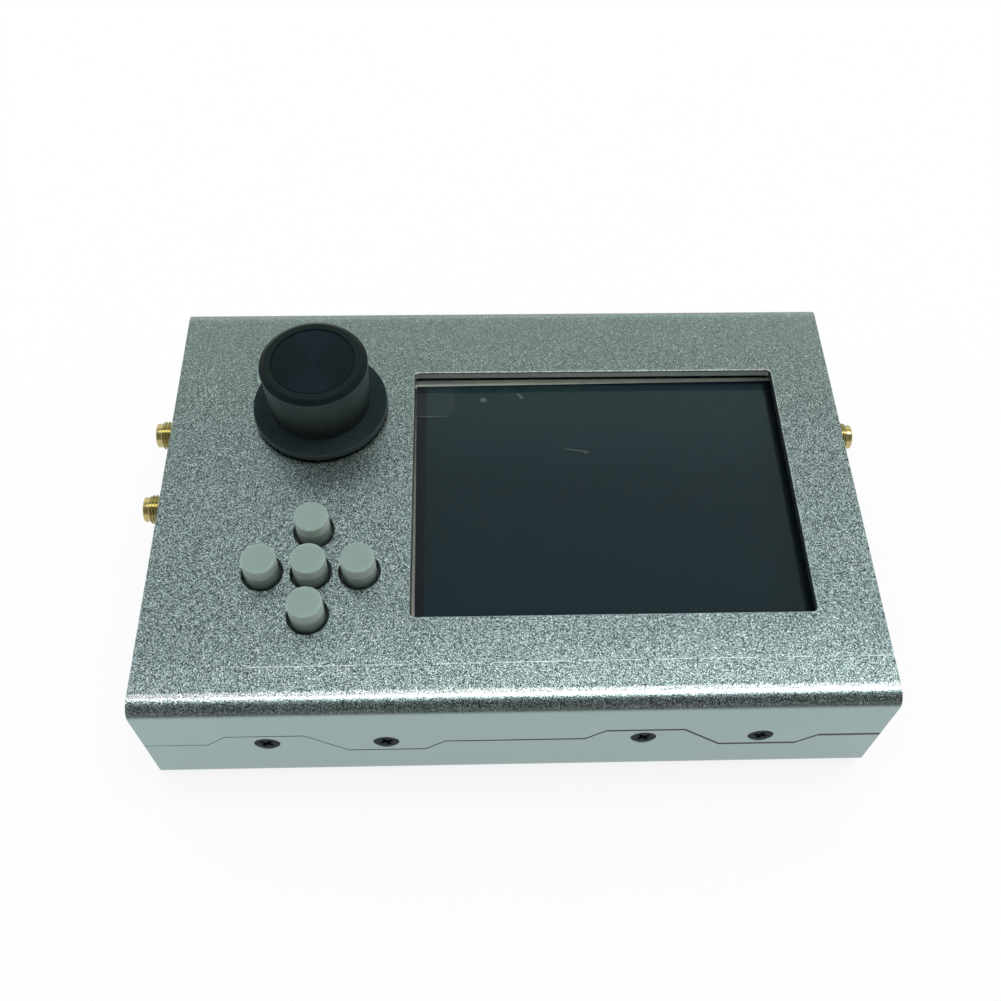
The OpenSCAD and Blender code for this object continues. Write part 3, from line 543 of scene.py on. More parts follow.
panel_low, panel_high = box_mm("display_panel")
panel_low[:2], panel_high[:2] = PANEL_CENTRE - PANEL_SIZE / 2, PANEL_CENTRE + PANEL_SIZE / 2
laid = plate_grid(panel_low, panel_high, PANEL_CORNER, PANEL_CHAMFER)
panel = add_piece("display_panel_laid", [turned_flat(laid, PANEL_CENTRE, PANEL_TURN)],
                  "case", ["display_panel"])
domes = [blister_grid(*place, glass_high[2] + GLASS_LIFT) for place in BLISTERS]
blisters = add_piece("film_blisters", domes, "case")

# %% [markdown]
# Nodes without clutter
# A finish is a graph of shader nodes. Short helpers keep the graphs readable: one adds a node, sets its
# options and fills its inputs with values or links, and the others name the small sums that finishes
# need again and again.

# %% Helpers for node graphs


def add_node(tree, kind, inputs=None, **options):
    """The outputs of a new node of that kind, with options set and each input given a value or a link."""
    made = tree.nodes.new("ShaderNode" + kind)
    for name, value in options.items():
        setattr(made, name, value)
    for name, value in (inputs or {}).items():
        if isinstance(value, bpy.types.NodeSocket):
            tree.links.new(value, made.inputs[name])
        else:
            made.inputs[name].default_value = value
    return made.outputs


def math_node(tree, operation, first, second=0.0, third=0.0):
    """The value of an arithmetic node on up to three values or sockets."""
    return add_node(tree, "Math", {0: first, 1: second, 2: third}, operation=operation)[0]


def product(tree, *values):
    """All the values or sockets multiplied together."""
    result = values[0]
    for value in values[1:]:
        result = math_node(tree, "MULTIPLY", result, value)
    return result


def away(tree, value, place):
    """How far a value lies from a place, on either side."""
    return math_node(tree, "ABSOLUTE", math_node(tree, "SUBTRACT", value, place))


def graded(tree, share, low, high):
    """A value that runs from low to high as a share runs from nought to one."""
    return math_node(tree, "MULTIPLY_ADD", share, high - low, low)


def ranged(tree, value, from_low, from_high, to_low, to_high, kind="SMOOTHSTEP"):
    """A value carried from one range to another and held at its ends."""
    inputs = {"Value": value, 1: from_low, 2: from_high, 3: to_low, 4: to_high}
    return add_node(tree, "MapRange", inputs, interpolation_type=kind)[0]


def inside(tree, value, low, high, soft):
    """One where a value lies between two limits, with edges that are soft by a width, all in
    millimetres."""
    above = ranged(tree, value, (low - soft) * MM, (low + soft) * MM, 0.0, 1.0)
    below = ranged(tree, value, (high - soft) * MM, (high + soft) * MM, 1.0, 0.0)
    return product(tree, above, below)


def blended(tree, share, first, second):
    """A colour that goes from the first to the second as a share runs from nought to one."""
    return add_node(tree, "Mix", {0: share, 6: first, 7: second}, data_type="RGBA")[2]


def scaled(tree, colour, level):
    """A colour with all three parts multiplied by one level."""
    return add_node(tree, "VectorMath", {0: colour, "Scale": level}, operation="SCALE")[0]


def noise_value(tree, point, scale, detail):
    """A smooth random value about one half, with so many waves in a metre."""
    return add_node(tree, "TexNoise", {"Vector": point, "Scale": scale, "Detail": detail})[0]


def split(tree, point):
    """The three parts of a point: along the radio, across it and its height."""
    return add_node(tree, "SeparateXYZ", {0: point})


def bumped(tree, strength, depth, height):
    """A normal tipped by a height that counts in units of a depth in millimetres."""
    return add_node(tree, "Bump", {"Strength": strength, "Distance": depth * MM, "Height": height})[0]


def new_material(name, **constants):
    """A material with one Principled shader: constants are set on the shader's own sockets."""
    material = bpy.data.materials.new(name)
    material.use_nodes = True
    tree = material.node_tree
    shader = tree.nodes["Principled BSDF"]
    for socket, value in constants.items():
        shader.inputs[socket.replace("_", " ")].default_value = value
    return material, tree, shader


def object_point(tree, centre=(0, 0, 0)):
    """The point on the piece, in metres, measured from a centre given in millimetres."""
    point = add_node(tree, "TexCoord")["Object"]
    return add_node(tree, "Mapping", {"Vector": point, "Location": [-value * MM for value in centre]})[0]


def dress(material, *nodes):
    """Gives solids of the frame, or new pieces, one material all over."""
    for node in nodes:
        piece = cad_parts[node] if isinstance(node, str) else node
        if not piece.material_slots:
            piece.data.materials.append(material)
        for slot in piece.material_slots:
            slot.material = material
    print("pieces in", material.name + ":", len(nodes))


# %% [markdown]
# Effects that finishes share
# Several finishes need the same three effects, so each is a node group with named inputs. Blasted
# grain is the glitter of metal struck by fine beads: the cells of a random pattern vary the colour at
# random, rare cells carry painted glints, and the noise also gives a height for a bump. Mottle is the
# slow drift in shade that all moulded or plated things have. Scuffs are long thin scratches that only
# change the gloss.

# %% Build the shared node groups
MID_GREY = (0.5, 0.5, 0.5, 1)
GRAIN_ROUGHNESS = 0.65
NOISE_SHARE = 2.6
CELL_SHARE = 0.55
# The glints are painted highlights in the colour.
PAINTED_GLINT_CHANCE = (0.8, 0.97)
PAINTED_GLINT_NOISE = (0.42, 0.62)
GRAIN_DARKEST = 0.15
MOTTLE_FINER = 14.0
SCUFF_DRAWN = (0.06, 1.0, 1.0)
SCUFF_PATCHES = 120.0
SCUFF_WHERE = (0.55, 0.7)


def new_group(name, inputs, outputs):
    """An empty node group: inputs are names with a kind and a start value, outputs are names with a
    kind."""
    tree = bpy.data.node_groups.new(name, "ShaderNodeTree")
    for socket, (kind, value) in inputs.items():
        made = tree.interface.new_socket(name=socket, in_out="INPUT", socket_type="NodeSocket" + kind)
        if value is not None:
            made.default_value = value
    for socket, kind in outputs.items():
        tree.interface.new_socket(name=socket, in_out="OUTPUT", socket_type="NodeSocket" + kind)
    return tree, tree.nodes.new("NodeGroupInput").outputs, tree.nodes.new("NodeGroupOutput").inputs


def blasted_grain_group():
    """Tint = colour times one plus contrast times a grain that swings about nought, with rare bright
    painted glints on top. The grain is a fine noise blended with the random value of small cells."""
    tree, given, result = new_group(
        "blasted_grain",
        {"Point": ("Vector", None), "Colour": ("Color", MID_GREY), "Cells per metre": ("Float", 2500),
         "Contrast": ("Float", 0.5), "Painted glint": ("Float", 0.5)},
        {"Colour": "Color", "Height": "Float"})
    place = {"Vector": given["Point"], "Scale": given["Cells per metre"]}
    noise = add_node(tree, "TexNoise", {**place, "Detail": 2.0, "Roughness": GRAIN_ROUGHNESS})[0]
    chance = add_node(tree, "SeparateColor", {0: add_node(tree, "TexVoronoi", place)["Color"]})[0]
    swing = product(tree, math_node(tree, "SUBTRACT", noise, 0.5), NOISE_SHARE)
    grain = math_node(tree, "MULTIPLY_ADD", math_node(tree, "SUBTRACT", chance, 0.5), CELL_SHARE, swing)
    # Painted glints where rare cells and the noise are both high.
    painted_glint = product(tree, ranged(tree, chance, *PAINTED_GLINT_CHANCE, 0.0, 1.0),
                    ranged(tree, noise, *PAINTED_GLINT_NOISE, 0.0, 1.0))
    level = math_node(tree, "MULTIPLY_ADD", grain, given["Contrast"], 1.0)
    level = math_node(tree, "MULTIPLY_ADD", painted_glint, given["Painted glint"], level)
    level = math_node(tree, "MAXIMUM", level, GRAIN_DARKEST)
    tree.links.new(scaled(tree, given["Colour"], level), result["Colour"])
    tree.links.new(noise, result["Height"])
    return tree


def mottle_group():
    """Colour times one plus an amount times a slow and a fine noise, a gloss that drifts by the same sum,
    and the fine noise as a height."""
    tree, given, result = new_group(
        "mottle",
        {"Point": ("Vector", None), "Colour": ("Color", MID_GREY), "Patches per metre": ("Float", 150),
         "Amount": ("Float", 0.1), "Roughness": ("Float", 0.4), "Drift": ("Float", 0.1)},
        {"Colour": "Color", "Roughness": "Float", "Height": "Float"})
    slow = noise_value(tree, given["Point"], given["Patches per metre"], detail=4.0)
    finer = product(tree, given["Patches per metre"], MOTTLE_FINER)
    fine = noise_value(tree, given["Point"], finer, detail=2.0)
    both = math_node(tree, "ADD", *[math_node(tree, "SUBTRACT", noise, 0.5) for noise in (slow, fine)])
    level = math_node(tree, "MULTIPLY_ADD", both, given["Amount"], 1.0)
    tree.links.new(scaled(tree, given["Colour"], level), result["Colour"])
    gloss = math_node(tree, "MULTIPLY_ADD", both, given["Drift"], given["Roughness"])
    tree.links.new(gloss, result["Roughness"])
    tree.links.new(fine, result["Height"])
    return tree


def scuff_group():
    """A mask of fine scratches: thin bands of a noise drawn out along one direction, kept only in
    patches."""
    tree, given, result = new_group(
        "scuffs",
        {"Point": ("Vector", None), "Turn": ("Float", 0.3), "Lines per metre": ("Float", 400),
         "Width": ("Float", 0.02)},
        {"Mask": "Float"})
    turn = {"Vector": given["Point"], "Angle": given["Turn"]}
    askew = add_node(tree, "VectorRotate", turn, rotation_type="Z_AXIS")[0]
    drawn = add_node(tree, "VectorMath", {0: askew, 1: SCUFF_DRAWN}, operation="MULTIPLY")[0]
    off = away(tree, noise_value(tree, drawn, given["Lines per metre"], detail=1.0), 0.5)
    patches = noise_value(tree, given["Point"], SCUFF_PATCHES, detail=1.0)
    where = ranged(tree, patches, *SCUFF_WHERE, 0.0, 1.0)
    mask = product(tree, math_node(tree, "LESS_THAN", off, given["Width"]), where)
    tree.links.new(mask, result["Mask"])
    return tree


GRAIN, MOTTLE, SCUFFS = blasted_grain_group(), mottle_group(), scuff_group()


def mottled(tree, shader, point, colour, patches, amount, gloss, drift):
    """Lets a colour and a gloss drift with the mottle, gives both to the shader and returns the mottle's
    height."""
    inputs = {"Point": point, "Colour": colour, "Patches per metre": patches, "Amount": amount,
              "Roughness": gloss, "Drift": drift}
    skin = add_node(tree, "Group", inputs, node_tree=MOTTLE)
    tree.links.new(skin["Colour"], shader.inputs["Base Color"])
    tree.links.new(skin["Roughness"], shader.inputs["Roughness"])
    return skin["Height"]


print("node groups:", GRAIN.name, MOTTLE.name, SCUFFS.name)

# %% [markdown]
# Bead-blasted aluminium
# Both shells and the end panels are aluminium, blasted with fine beads and anodised clear. The beads
# leave dimples, a fine bump that tips the ceiling light towards the eye, and the colour carries the
# grain with painted glints. The upright walls are smooth and satin, so the grain fades round the bends.
# The tone holds painted light and shade: lighter and greener at the rear, lighter towards the front of
# the flats, a painted highlight along the crest of the front bend, a painted dark band below it, and
# painted shade on both bends. A faint bright line crosses the top near the front, where the die ended.
# The window was sawn: its rear wall has a painted light, its chamfer a broken painted highlight with a
# painted shadow line under it, and its side walls a painted shade. The lips of the seam have a painted
# shade that widens towards the right.

# %% Name the values of the metal
ALUMINIUM = (0.268, 0.368, 0.365, 1)
# The rear's colour is lighter and greener than the front: a painted light.
ALUMINIUM_REAR_PAINTED_LIGHT = (0.355, 0.462, 0.43, 1)
# Bright metal for the real die line, and for the painted light and painted highlight of the window's cut.
BRIGHT_LINE_AND_PAINTED_GLEAM = (0.85, 0.92, 0.9, 1)
METAL_GLOSS = 0.3
METAL_DRIFT = 0.04
METAL_PATCHES = 45.0
METAL_MOTTLE = 0.08
GRAIN_CELLS = 7200.0
GRAIN_CONTRAST = 7.4
# Strength of the painted glints.
GRAIN_PAINTED_GLINT = 5.0
GRAIN_RELIEF = 0.015
GRAIN_REAR = 0.1
PAINTED_GLINT_REAR = 0.4
GRAIN_FULL = 0.1
GRAIN_GONE = 2.6
GRAIN_ON_WALL = 0.02
BEND_R = 3
BLAST_SHADE = 0.52
# Painted light on the flats, rising towards the front.
FRONT_PAINTED_LIGHT = 0.16
FRONT_PAINTED_LIGHT_REACH = 14
# A painted highlight on the crest of the front bend.
CREST_PAINTED_HIGHLIGHT = 2.0
CREST_DROP = (0.012, 0.068)
CREST_ON_FLAT = 0.75
CREST_SOFT = 0.35
# Painted shade on the front and rear bends.
FRONT_BEND_PAINTED_SHADE = 0.62
FRONT_BEND_DROP = (0.5, 1.0)
REAR_BEND_PAINTED_SHADE = 0.55
REAR_BEND_DROP = (1.5, 3.0)
# A painted dark band below the crest of the bends, standing for a dark reflection.
DARK_BAND_PAINTED_SHADE = (0.31, 0.265, 0.26)
DARK_BAND_FROM_TOP = 1.45
DARK_BAND_HALF_WIDTH = 1.3
DARK_BAND_CORE = 0.2
DIE_LINE_FROM_FRONT = 9.1
DIE_LINE_WIDTH = 0.12
DIE_LINE_SOFT = (0.4, 1.2)
DIE_LINE_START = -50
DIE_LINE_WAVES = 26.0
DIE_LINE_SWING = 0.25
DIE_LINE_PATCHES = 260.0
DIE_LINE_BREAKS = (0.4, 0.52)
DIE_LINE_GLEAM = 0.5
TOP_SKIN = 0.1
WINDOW_LOW = (-20.0, -29.85)
WINDOW_HIGH = (58.4, 30.05)
EDGE_CHAMFER = 0.22
EDGE_MARGIN = 0.1
EDGE_SOFT = 0.02
# Painted light on the window's sawn rear wall.
SAWN_WALL_PAINTED_LIGHT = 0.45
SAWN_METAL = 0.25
SIDE_WALL_REACH = 0.3
SIDE_WALL_SOFT = 0.05
# Painted shade on the window's side walls.
SIDE_WALL_PAINTED_SHADE = 0.13
# A painted shadow line under the window's chamfer.
UNDER_CHAMFER_SHADOW_H = 0.4
UNDER_CHAMFER_SHADOW_SOFT = 0.03
UNDER_CHAMFER_PAINTED_SHADOW = 0.2
# A painted highlight along the window's chamfer, broken by a noise.
CHAMFER_GLINTS_PER_METRE = 900.0
CHAMFER_GLINT_NOISE = (0.42, 0.58)
CHAMFER_GLINT_FLOOR = 0.45
CHAMFER_GLINT_FRONT = 0.2
SIDE_CHAMFER_GLINT = 0.1
SEAM_STEP = 3.8
TAB_HALF = 7.5
SEAM_LIP = (0.08, 0.52)
SEAM_SOFT = 0.03
# Painted shade on the lips of the seam, standing for the shadow in its gap.
SEAM_PAINTED_SHADE = 0.1
window_size = [round(high - low, 2) for low, high in zip(WINDOW_LOW, WINDOW_HIGH)]
print("window in millimetres:", window_size)

# %% Mark the cut places and the painted light and shade


def die_line(tree, point, top_only):
    """A broken bright line: near one distance from the front, on the top face, where a noise along it is
    high."""
    along, across, _ = split(tree, point)
    wave = product(tree, math_node(tree, "SINE", product(tree, along, DIE_LINE_WAVES)), DIE_LINE_SWING * MM)
    straight = math_node(tree, "SUBTRACT", across, wave)
    off = away(tree, straight, (CASE_FRONT + DIE_LINE_FROM_FRONT) * MM)
    line = ranged(tree, off, *[share * DIE_LINE_WIDTH * MM for share in DIE_LINE_SOFT], 1.0, 0.0)
    patches = noise_value(tree, point, DIE_LINE_PATCHES, detail=3.0)
    breaks = ranged(tree, patches, *DIE_LINE_BREAKS, 0.0, 1.0)
    begun = math_node(tree, "GREATER_THAN", along, DIE_LINE_START * MM)
    return product(tree, line, breaks, top_only, begun)


def painted_dark_band(tree, across, off_middle):
    """A mask of the painted dark band on the bends, a painted shade for a dark reflection: full at one
    distance below the top, and only out beside the long walls.
    """
    off = away(tree, off_middle, (mid_height - DARK_BAND_FROM_TOP) * MM)
    band = ranged(tree, off, DARK_BAND_CORE * DARK_BAND_HALF_WIDTH * MM, DARK_BAND_HALF_WIDTH * MM, 1.0, 0.0)
    bend_start = (abs(CASE_FRONT) - BEND_R) * MM
    beside = math_node(tree, "GREATER_THAN", math_node(tree, "ABSOLUTE", across), bend_start)
    return product(tree, band, beside)


def cut_edge(tree, point, height):
    """Masks of the window's whole cut, its rear wall, its two side walls, the painted shadow line under its
    chamfer, and the painted highlight on the chamfer, whose gleam follows a noise and is weaker on the
    sides and towards the front."""
    along, across, _ = split(tree, point)
    reach = EDGE_CHAMFER + EDGE_MARGIN
    cut = product(tree, inside(tree, along, WINDOW_LOW[0] - reach, WINDOW_HIGH[0] + reach, EDGE_SOFT),
                  inside(tree, across, WINDOW_LOW[1] - reach, WINDOW_HIGH[1] + reach, EDGE_SOFT),
                  math_node(tree, "LESS_THAN", height, (CASE_TOP - EDGE_SOFT) * MM))
    chamfer_foot = CASE_TOP - EDGE_CHAMFER
    edge = math_node(tree, "GREATER_THAN", height, chamfer_foot * MM)
    middle = inside(tree, along, WINDOW_LOW[0] + SIDE_WALL_REACH, WINDOW_HIGH[0] - SIDE_WALL_REACH,
                    SIDE_WALL_SOFT)
    rear = product(tree, middle, math_node(tree, "SUBTRACT", 1.0, edge))
    sides = math_node(tree, "SUBTRACT", 1.0, math_node(tree, "MAXIMUM", middle, edge))
    # A painted shadow line under the chamfer.
    under_chamfer_shadow = inside(tree, height, chamfer_foot - UNDER_CHAMFER_SHADOW_H, chamfer_foot, UNDER_CHAMFER_SHADOW_SOFT)
    # The painted highlight along the chamfer, broken by a noise.
    chamfer_noise = noise_value(tree, point, CHAMFER_GLINTS_PER_METRE, detail=2.0)
    gleam = ranged(tree, chamfer_noise, *CHAMFER_GLINT_NOISE, CHAMFER_GLINT_FLOOR, 1.0)
    painted_chamfer_glint = product(tree, edge, gleam, ranged(tree, across, 0.0, WINDOW_HIGH[1] * MM, CHAMFER_GLINT_FRONT, 1.0),
                    graded(tree, middle, SIDE_CHAMFER_GLINT, 1))
    return cut, *[product(tree, cut, mask) for mask in (rear, sides, under_chamfer_shadow, painted_chamfer_glint)]


def seam_painted_shade(tree, along, across, height):
    """A mask of the painted shade on the lips of the seam on the long walls, which widens towards the
    right. The seam's height is a sum of ramps along the wall: up to a raised tab, down to a dropped tab
    and back, twice."""
    seam = mid_height * MM
    for raised, dropped in zip(SCREW_PLACES[::2], SCREW_PLACES[1::2]):
        for start, end, steps in ((raised - TAB_HALF - SEAM_STEP, raised - TAB_HALF, 1),
                                  (raised + TAB_HALF, dropped - TAB_HALF, -2),
                                  (dropped + TAB_HALF, dropped + TAB_HALF + SEAM_STEP, 1)):
            ramp = ranged(tree, along, start * MM, end * MM, 0.0, steps * SEAM_STEP * MM, "LINEAR")
            seam = math_node(tree, "ADD", seam, ramp)
    ends = [case_low[0] * MM, case_high[0] * MM, *[lip * MM for lip in SEAM_LIP]]
    past = math_node(tree, "SUBTRACT", away(tree, height, seam), ranged(tree, along, *ends, "LINEAR"))
    lip = ranged(tree, past, -SEAM_SOFT * MM, SEAM_SOFT * MM, 1.0, 0.0)
    wall = (abs(CASE_FRONT) - BEND_R / 2) * MM
    return product(tree, lip, math_node(tree, "GREATER_THAN", math_node(tree, "ABSOLUTE", across), wall))


def lit_level(tree, across, off_middle, wide, front):
    """Level of the metal's tone: lower on the blasted flats but with a painted light rising towards the
    front, a painted shade of its own on each bend, and a painted highlight on the crest of the front bend."""
    flat_from = CASE_FRONT + BEND_R + CREST_ON_FLAT
    flat = product(tree, wide, inside(tree, across, flat_from, -flat_from, CREST_SOFT))
    # Painted light on the flats towards the front.
    painted_front_light = ranged(tree, across, flat_from * MM, (flat_from + FRONT_PAINTED_LIGHT_REACH) * MM, 1 + FRONT_PAINTED_LIGHT, 1.0)
    # A painted highlight on the crest and painted shade on both bends.
    crest, front_bend, rear_bend = [
        ranged(tree, off_middle, (mid_height - drop[1]) * MM, (mid_height - drop[0]) * MM, below, above)
        for drop, below, above in ((CREST_DROP, 0.0, CREST_PAINTED_HIGHLIGHT), (FRONT_BEND_DROP, 1.0, FRONT_BEND_PAINTED_SHADE),
                                   (REAR_BEND_DROP, 1.0, REAR_BEND_PAINTED_SHADE))]
    bend = add_node(tree, "Mix", {0: front, 2: rear_bend, 3: front_bend})[0]
    painted_bend_level = math_node(tree, "MULTIPLY_ADD", crest, front, bend)
    return add_node(tree, "Mix", {0: flat, 2: painted_bend_level, 3: product(tree, painted_front_light, BLAST_SHADE)})[0]


# %% Finish the case


def blasted_aluminium():
    """Grain with painted glints on the wide faces that fades round the bends and to the rear, painted light
    and shade on the flats and bends, a sawn window with painted light, shade and highlight, painted shade
    on the seam's lips and a die line, with a gloss that drifts."""
    material, tree, shader = new_material("blasted_aluminium")
    point = object_point(tree)
    along, across, height = split(tree, point)
    off_middle = away(tree, height, mid_height * MM)
    wide = ranged(tree, off_middle, (mid_height - GRAIN_GONE) * MM, (mid_height - GRAIN_FULL) * MM,
                  GRAIN_ON_WALL, 1.0)
    front = ranged(tree, across, CASE_FRONT / 2 * MM, -CASE_FRONT * MM, 1.0, 0.0)
    coarse = product(tree, wide, graded(tree, front, GRAIN_REAR, 1))
    # Painted glints, weaker towards the rear.
    painted_glint = product(tree, wide, graded(tree, front, PAINTED_GLINT_REAR, 1))
    inputs = {"Point": point, "Colour": blended(tree, front, ALUMINIUM_REAR_PAINTED_LIGHT, ALUMINIUM),
              "Cells per metre": GRAIN_CELLS, "Contrast": product(tree, coarse, GRAIN_CONTRAST),
              "Painted glint": product(tree, painted_glint, GRAIN_PAINTED_GLINT)}
    grain = add_node(tree, "Group", inputs, node_tree=GRAIN)
    # The tone takes the painted light, highlight and shade of the flats, the crest and the bends.
    tone = scaled(tree, grain["Colour"], lit_level(tree, across, off_middle, wide, front))
    # The painted dark band below the crest.
    dark = add_node(tree, "VectorMath", {0: tone, 1: DARK_BAND_PAINTED_SHADE}, operation="MULTIPLY")[0]
    tone = blended(tree, painted_dark_band(tree, across, off_middle), tone, dark)
    cut, rear, sides, under_chamfer_shadow, painted_chamfer_glint = cut_edge(tree, point, height)
    # Painted light on the sawn rear wall.
    tone = blended(tree, product(tree, rear, SAWN_WALL_PAINTED_LIGHT), tone, BRIGHT_LINE_AND_PAINTED_GLEAM)
    lips = seam_painted_shade(tree, along, across, height)
    # Painted shade on the side walls, a painted shadow line under the chamfer and painted shade on the
    # seam's lips.
    for mask, shade in ((sides, SIDE_WALL_PAINTED_SHADE), (under_chamfer_shadow, UNDER_CHAMFER_PAINTED_SHADOW), (lips, SEAM_PAINTED_SHADE)):
        tone = scaled(tree, tone, graded(tree, mask, 1, shade))
    top_only = math_node(tree, "GREATER_THAN", height, (CASE_TOP - TOP_SKIN) * MM)
    line = product(tree, die_line(tree, point, top_only), DIE_LINE_GLEAM)
    # The real bright die line, and the painted highlight along the chamfer.
    tone = blended(tree, math_node(tree, "MAXIMUM", line, painted_chamfer_glint), tone, BRIGHT_LINE_AND_PAINTED_GLEAM)
    mottled(tree, shader, point, tone, METAL_PATCHES, METAL_MOTTLE, METAL_GLOSS, METAL_DRIFT)
    tree.links.new(graded(tree, cut, 1, SAWN_METAL), shader.inputs["Metallic"])
    tree.links.new(bumped(tree, coarse, GRAIN_RELIEF, grain["Height"]), shader.inputs["Normal"])
    return material


dress(blasted_aluminium(), "upper_shell", "lower_shell", "left_end_panel", "right_end_panel")

# %% [markdown]
# The spun black knob
# The knob is anodised black over a turned surface. The cutting tool leaves fine rings on the disc,
# too small to see one by one, but together they stretch highlights into a fan. We make the rings from
# the distance to the axis: a wave of that distance drives a bump, so the rings are real relief and
# turn with the knob. Two opposite fans of painted sheen on the disc turn with it too. The side has a
# painted light that darkens to a painted shade towards its foot, the flange has a painted light and
# its rim a painted highlight, and the flat ring round the disc is a little paler than the disc.

# %% Finish the knob
SPIN_PITCH = 0.16
SPIN_SHARE = 0.5
FAN_SPREAD = (-1.0, 0.2)
TONE_MARGIN = 0.05
FLANGE_MARGIN = 0.1
RIM_MARGIN = 0.15
KNOB_BLACK = (0.005, 0.011, 0.013, 1)
# Painted sheen on two opposite fans of the disc.
KNOB_PAINTED_SHEEN = (0.007, 0.0135, 0.019, 1)
KNOB_SLOPE_BLACK = (0.006, 0.0115, 0.0125, 1)
# Painted light on the side, painted shade towards the foot, painted light on the flange and a painted
# highlight on its rim.
KNOB_SIDE_PAINTED_LIGHT = (0.05, 0.069, 0.068, 1)
KNOB_FOOT_PAINTED_SHADE = (0.01, 0.015, 0.015, 1)
KNOB_FLANGE_PAINTED_LIGHT = (0.0108, 0.0208, 0.0234, 1)
KNOB_RIM_PAINTED_HIGHLIGHT = (0.038, 0.052, 0.053, 1)
KNOB_RING_GREY = (0.008, 0.0165, 0.0155, 1)


def spun_black():
    """Black with a height that waves with the distance from the axis. Bands of height and distance give
    the sloped edge, the side, the flange, its rim and the flat ring their tones: painted light on the side
    and the flange, painted shade towards the foot and a painted highlight on the rim. Two opposite fans
    of painted sheen on the disc are bluer."""
    material, tree, shader = new_material("spun_black", Metallic=0.0, Specular_IOR_Level=0.04)
    point = object_point(tree, (*knob_axis[:2], 0))
    along, across, height = split(tree, point)
    level = add_node(tree, "VectorMath", {0: point, 1: (1, 1, 0)}, operation="MULTIPLY")[0]
    distance = add_node(tree, "VectorMath", {0: level}, operation="LENGTH")["Value"]
    ring_r = KNOB_BODY_R - KNOB_SLOPE_W
    flange_r = knob_high[0] - knob_axis[0]
    side_top = knob_high[2] - KNOB_SLOPE_H
    fan = math_node(tree, "COSINE", product(tree, math_node(tree, "ARCTAN2", across, along), 2.0))
    top = math_node(tree, "GREATER_THAN", height, (knob_high[2] - TONE_MARGIN) * MM)
    on_ring = math_node(tree, "GREATER_THAN", distance, (ring_r - KNOB_RING_W) * MM)
    tone = KNOB_BLACK
    # Painted sheen, light, shade and highlight in these bands.
    for mask, grey in (
            (ranged(tree, fan, *FAN_SPREAD, 1.0, 0.0), KNOB_PAINTED_SHEEN),
            (math_node(tree, "GREATER_THAN", distance, ring_r * MM), KNOB_SLOPE_BLACK),
            (math_node(tree, "LESS_THAN", height, (side_top - TONE_MARGIN) * MM), KNOB_SIDE_PAINTED_LIGHT),
            (ranged(tree, height, knob_foot_z * MM, side_top * MM, 1.0, 0.0), KNOB_FOOT_PAINTED_SHADE),
            (math_node(tree, "LESS_THAN", height, (knob_foot_z + FLANGE_MARGIN) * MM), KNOB_FLANGE_PAINTED_LIGHT),
            (math_node(tree, "GREATER_THAN", distance, (flange_r - RIM_MARGIN) * MM), KNOB_RIM_PAINTED_HIGHLIGHT),
            (product(tree, top, on_ring), KNOB_RING_GREY)):
        tone = blended(tree, mask, tone, grey)
    rings = math_node(tree, "SINE", product(tree, distance, 2 * math.pi / (SPIN_PITCH * MM)))
    skin = mottled(tree, shader, point, tone, patches=220.0, amount=0.3, gloss=0.35, drift=0.1)
    relief = math_node(tree, "MULTIPLY_ADD", rings, SPIN_SHARE, skin)
    tree.links.new(bumped(tree, strength=0.25, depth=0.02, height=relief), shader.inputs["Normal"])
    return material


dress(spun_black(), knob)

# %% [markdown]
# The grey buttons
# The buttons are soft grey plastic that lets a little light through; light that travels inside the
# plastic is the shader's subsurface share. The side of the cap has a painted light, a band paler than
# the top, and below the cap we lower the colour with the height to a painted shade on the foot in its
# hole.

# %% Finish the buttons
BUTTON_GREY = (0.235, 0.328, 0.297, 1)
# A painted light on the cap's side band and a painted shade on the foot in its hole.
BUTTON_BAND_PAINTED_LIGHT = (0.36, 0.43, 0.38, 1)
BUTTON_FOOT_PAINTED_SHADE = (0.1, 0.128, 0.12, 1)
BUTTON_LID = 0.12
BUTTON_CAP_H = 2.8
BUTTON_CAP_SOFT = 0.15
BUTTON_CAP_SHARE = 0.55
BUTTON_FOOT_DEPTH = 1
BUTTON_LIGHT_REACH = 1.9


def button_plastic_painted_light():
    """Grey on the top, a painted light in a paler band round the cap's side, and from its lower edge down a
    drop to the painted shade of the foot."""
    material, tree, shader = new_material(
        "button_plastic_painted_light", Metallic=0.0, Subsurface_Weight=0.9, Subsurface_Radius=(1, 1, 1),
        Subsurface_Scale=BUTTON_LIGHT_REACH * MM)
    point = object_point(tree)
    height = split(tree, point)[2]
    top = box_mm("select_button")[1][2]
    cap_z = top - BUTTON_CAP_H
    cap = ranged(tree, height, (cap_z - BUTTON_CAP_SOFT) * MM, (cap_z + BUTTON_CAP_SOFT) * MM,
                 0.0, BUTTON_CAP_SHARE)
    # The colour falls with the height to the painted shade of the foot.
    stem = ranged(tree, height, (CASE_TOP - BUTTON_FOOT_DEPTH) * MM, cap_z * MM, 0.0, 1 - BUTTON_CAP_SHARE)
    lid = ranged(tree, height, (top - 2 * BUTTON_LID) * MM, (top - BUTTON_LID / 2) * MM, 0.0, 1.0)
    upper = blended(tree, lid, BUTTON_BAND_PAINTED_LIGHT, BUTTON_GREY)
    tone = blended(tree, math_node(tree, "ADD", cap, stem), BUTTON_FOOT_PAINTED_SHADE, upper)
    skin = mottled(tree, shader, point, tone, patches=300.0, amount=0.05, gloss=0.33, drift=0.08)
    tree.links.new(bumped(tree, strength=0.3, depth=0.005, height=skin), shader.inputs["Normal"])
    return material


dress(button_plastic_painted_light(), *buttons)

# %% [markdown]
# Plain moulded and plated finishes
# The rest of the radio is made of a few plain stuffs: moulded plastic, plated or blackened metal, foil
# and foam. They differ in colour, gloss and how coarse their texture is, so one function builds them
# all from a row of values. The relief is a bump from the same mottle.

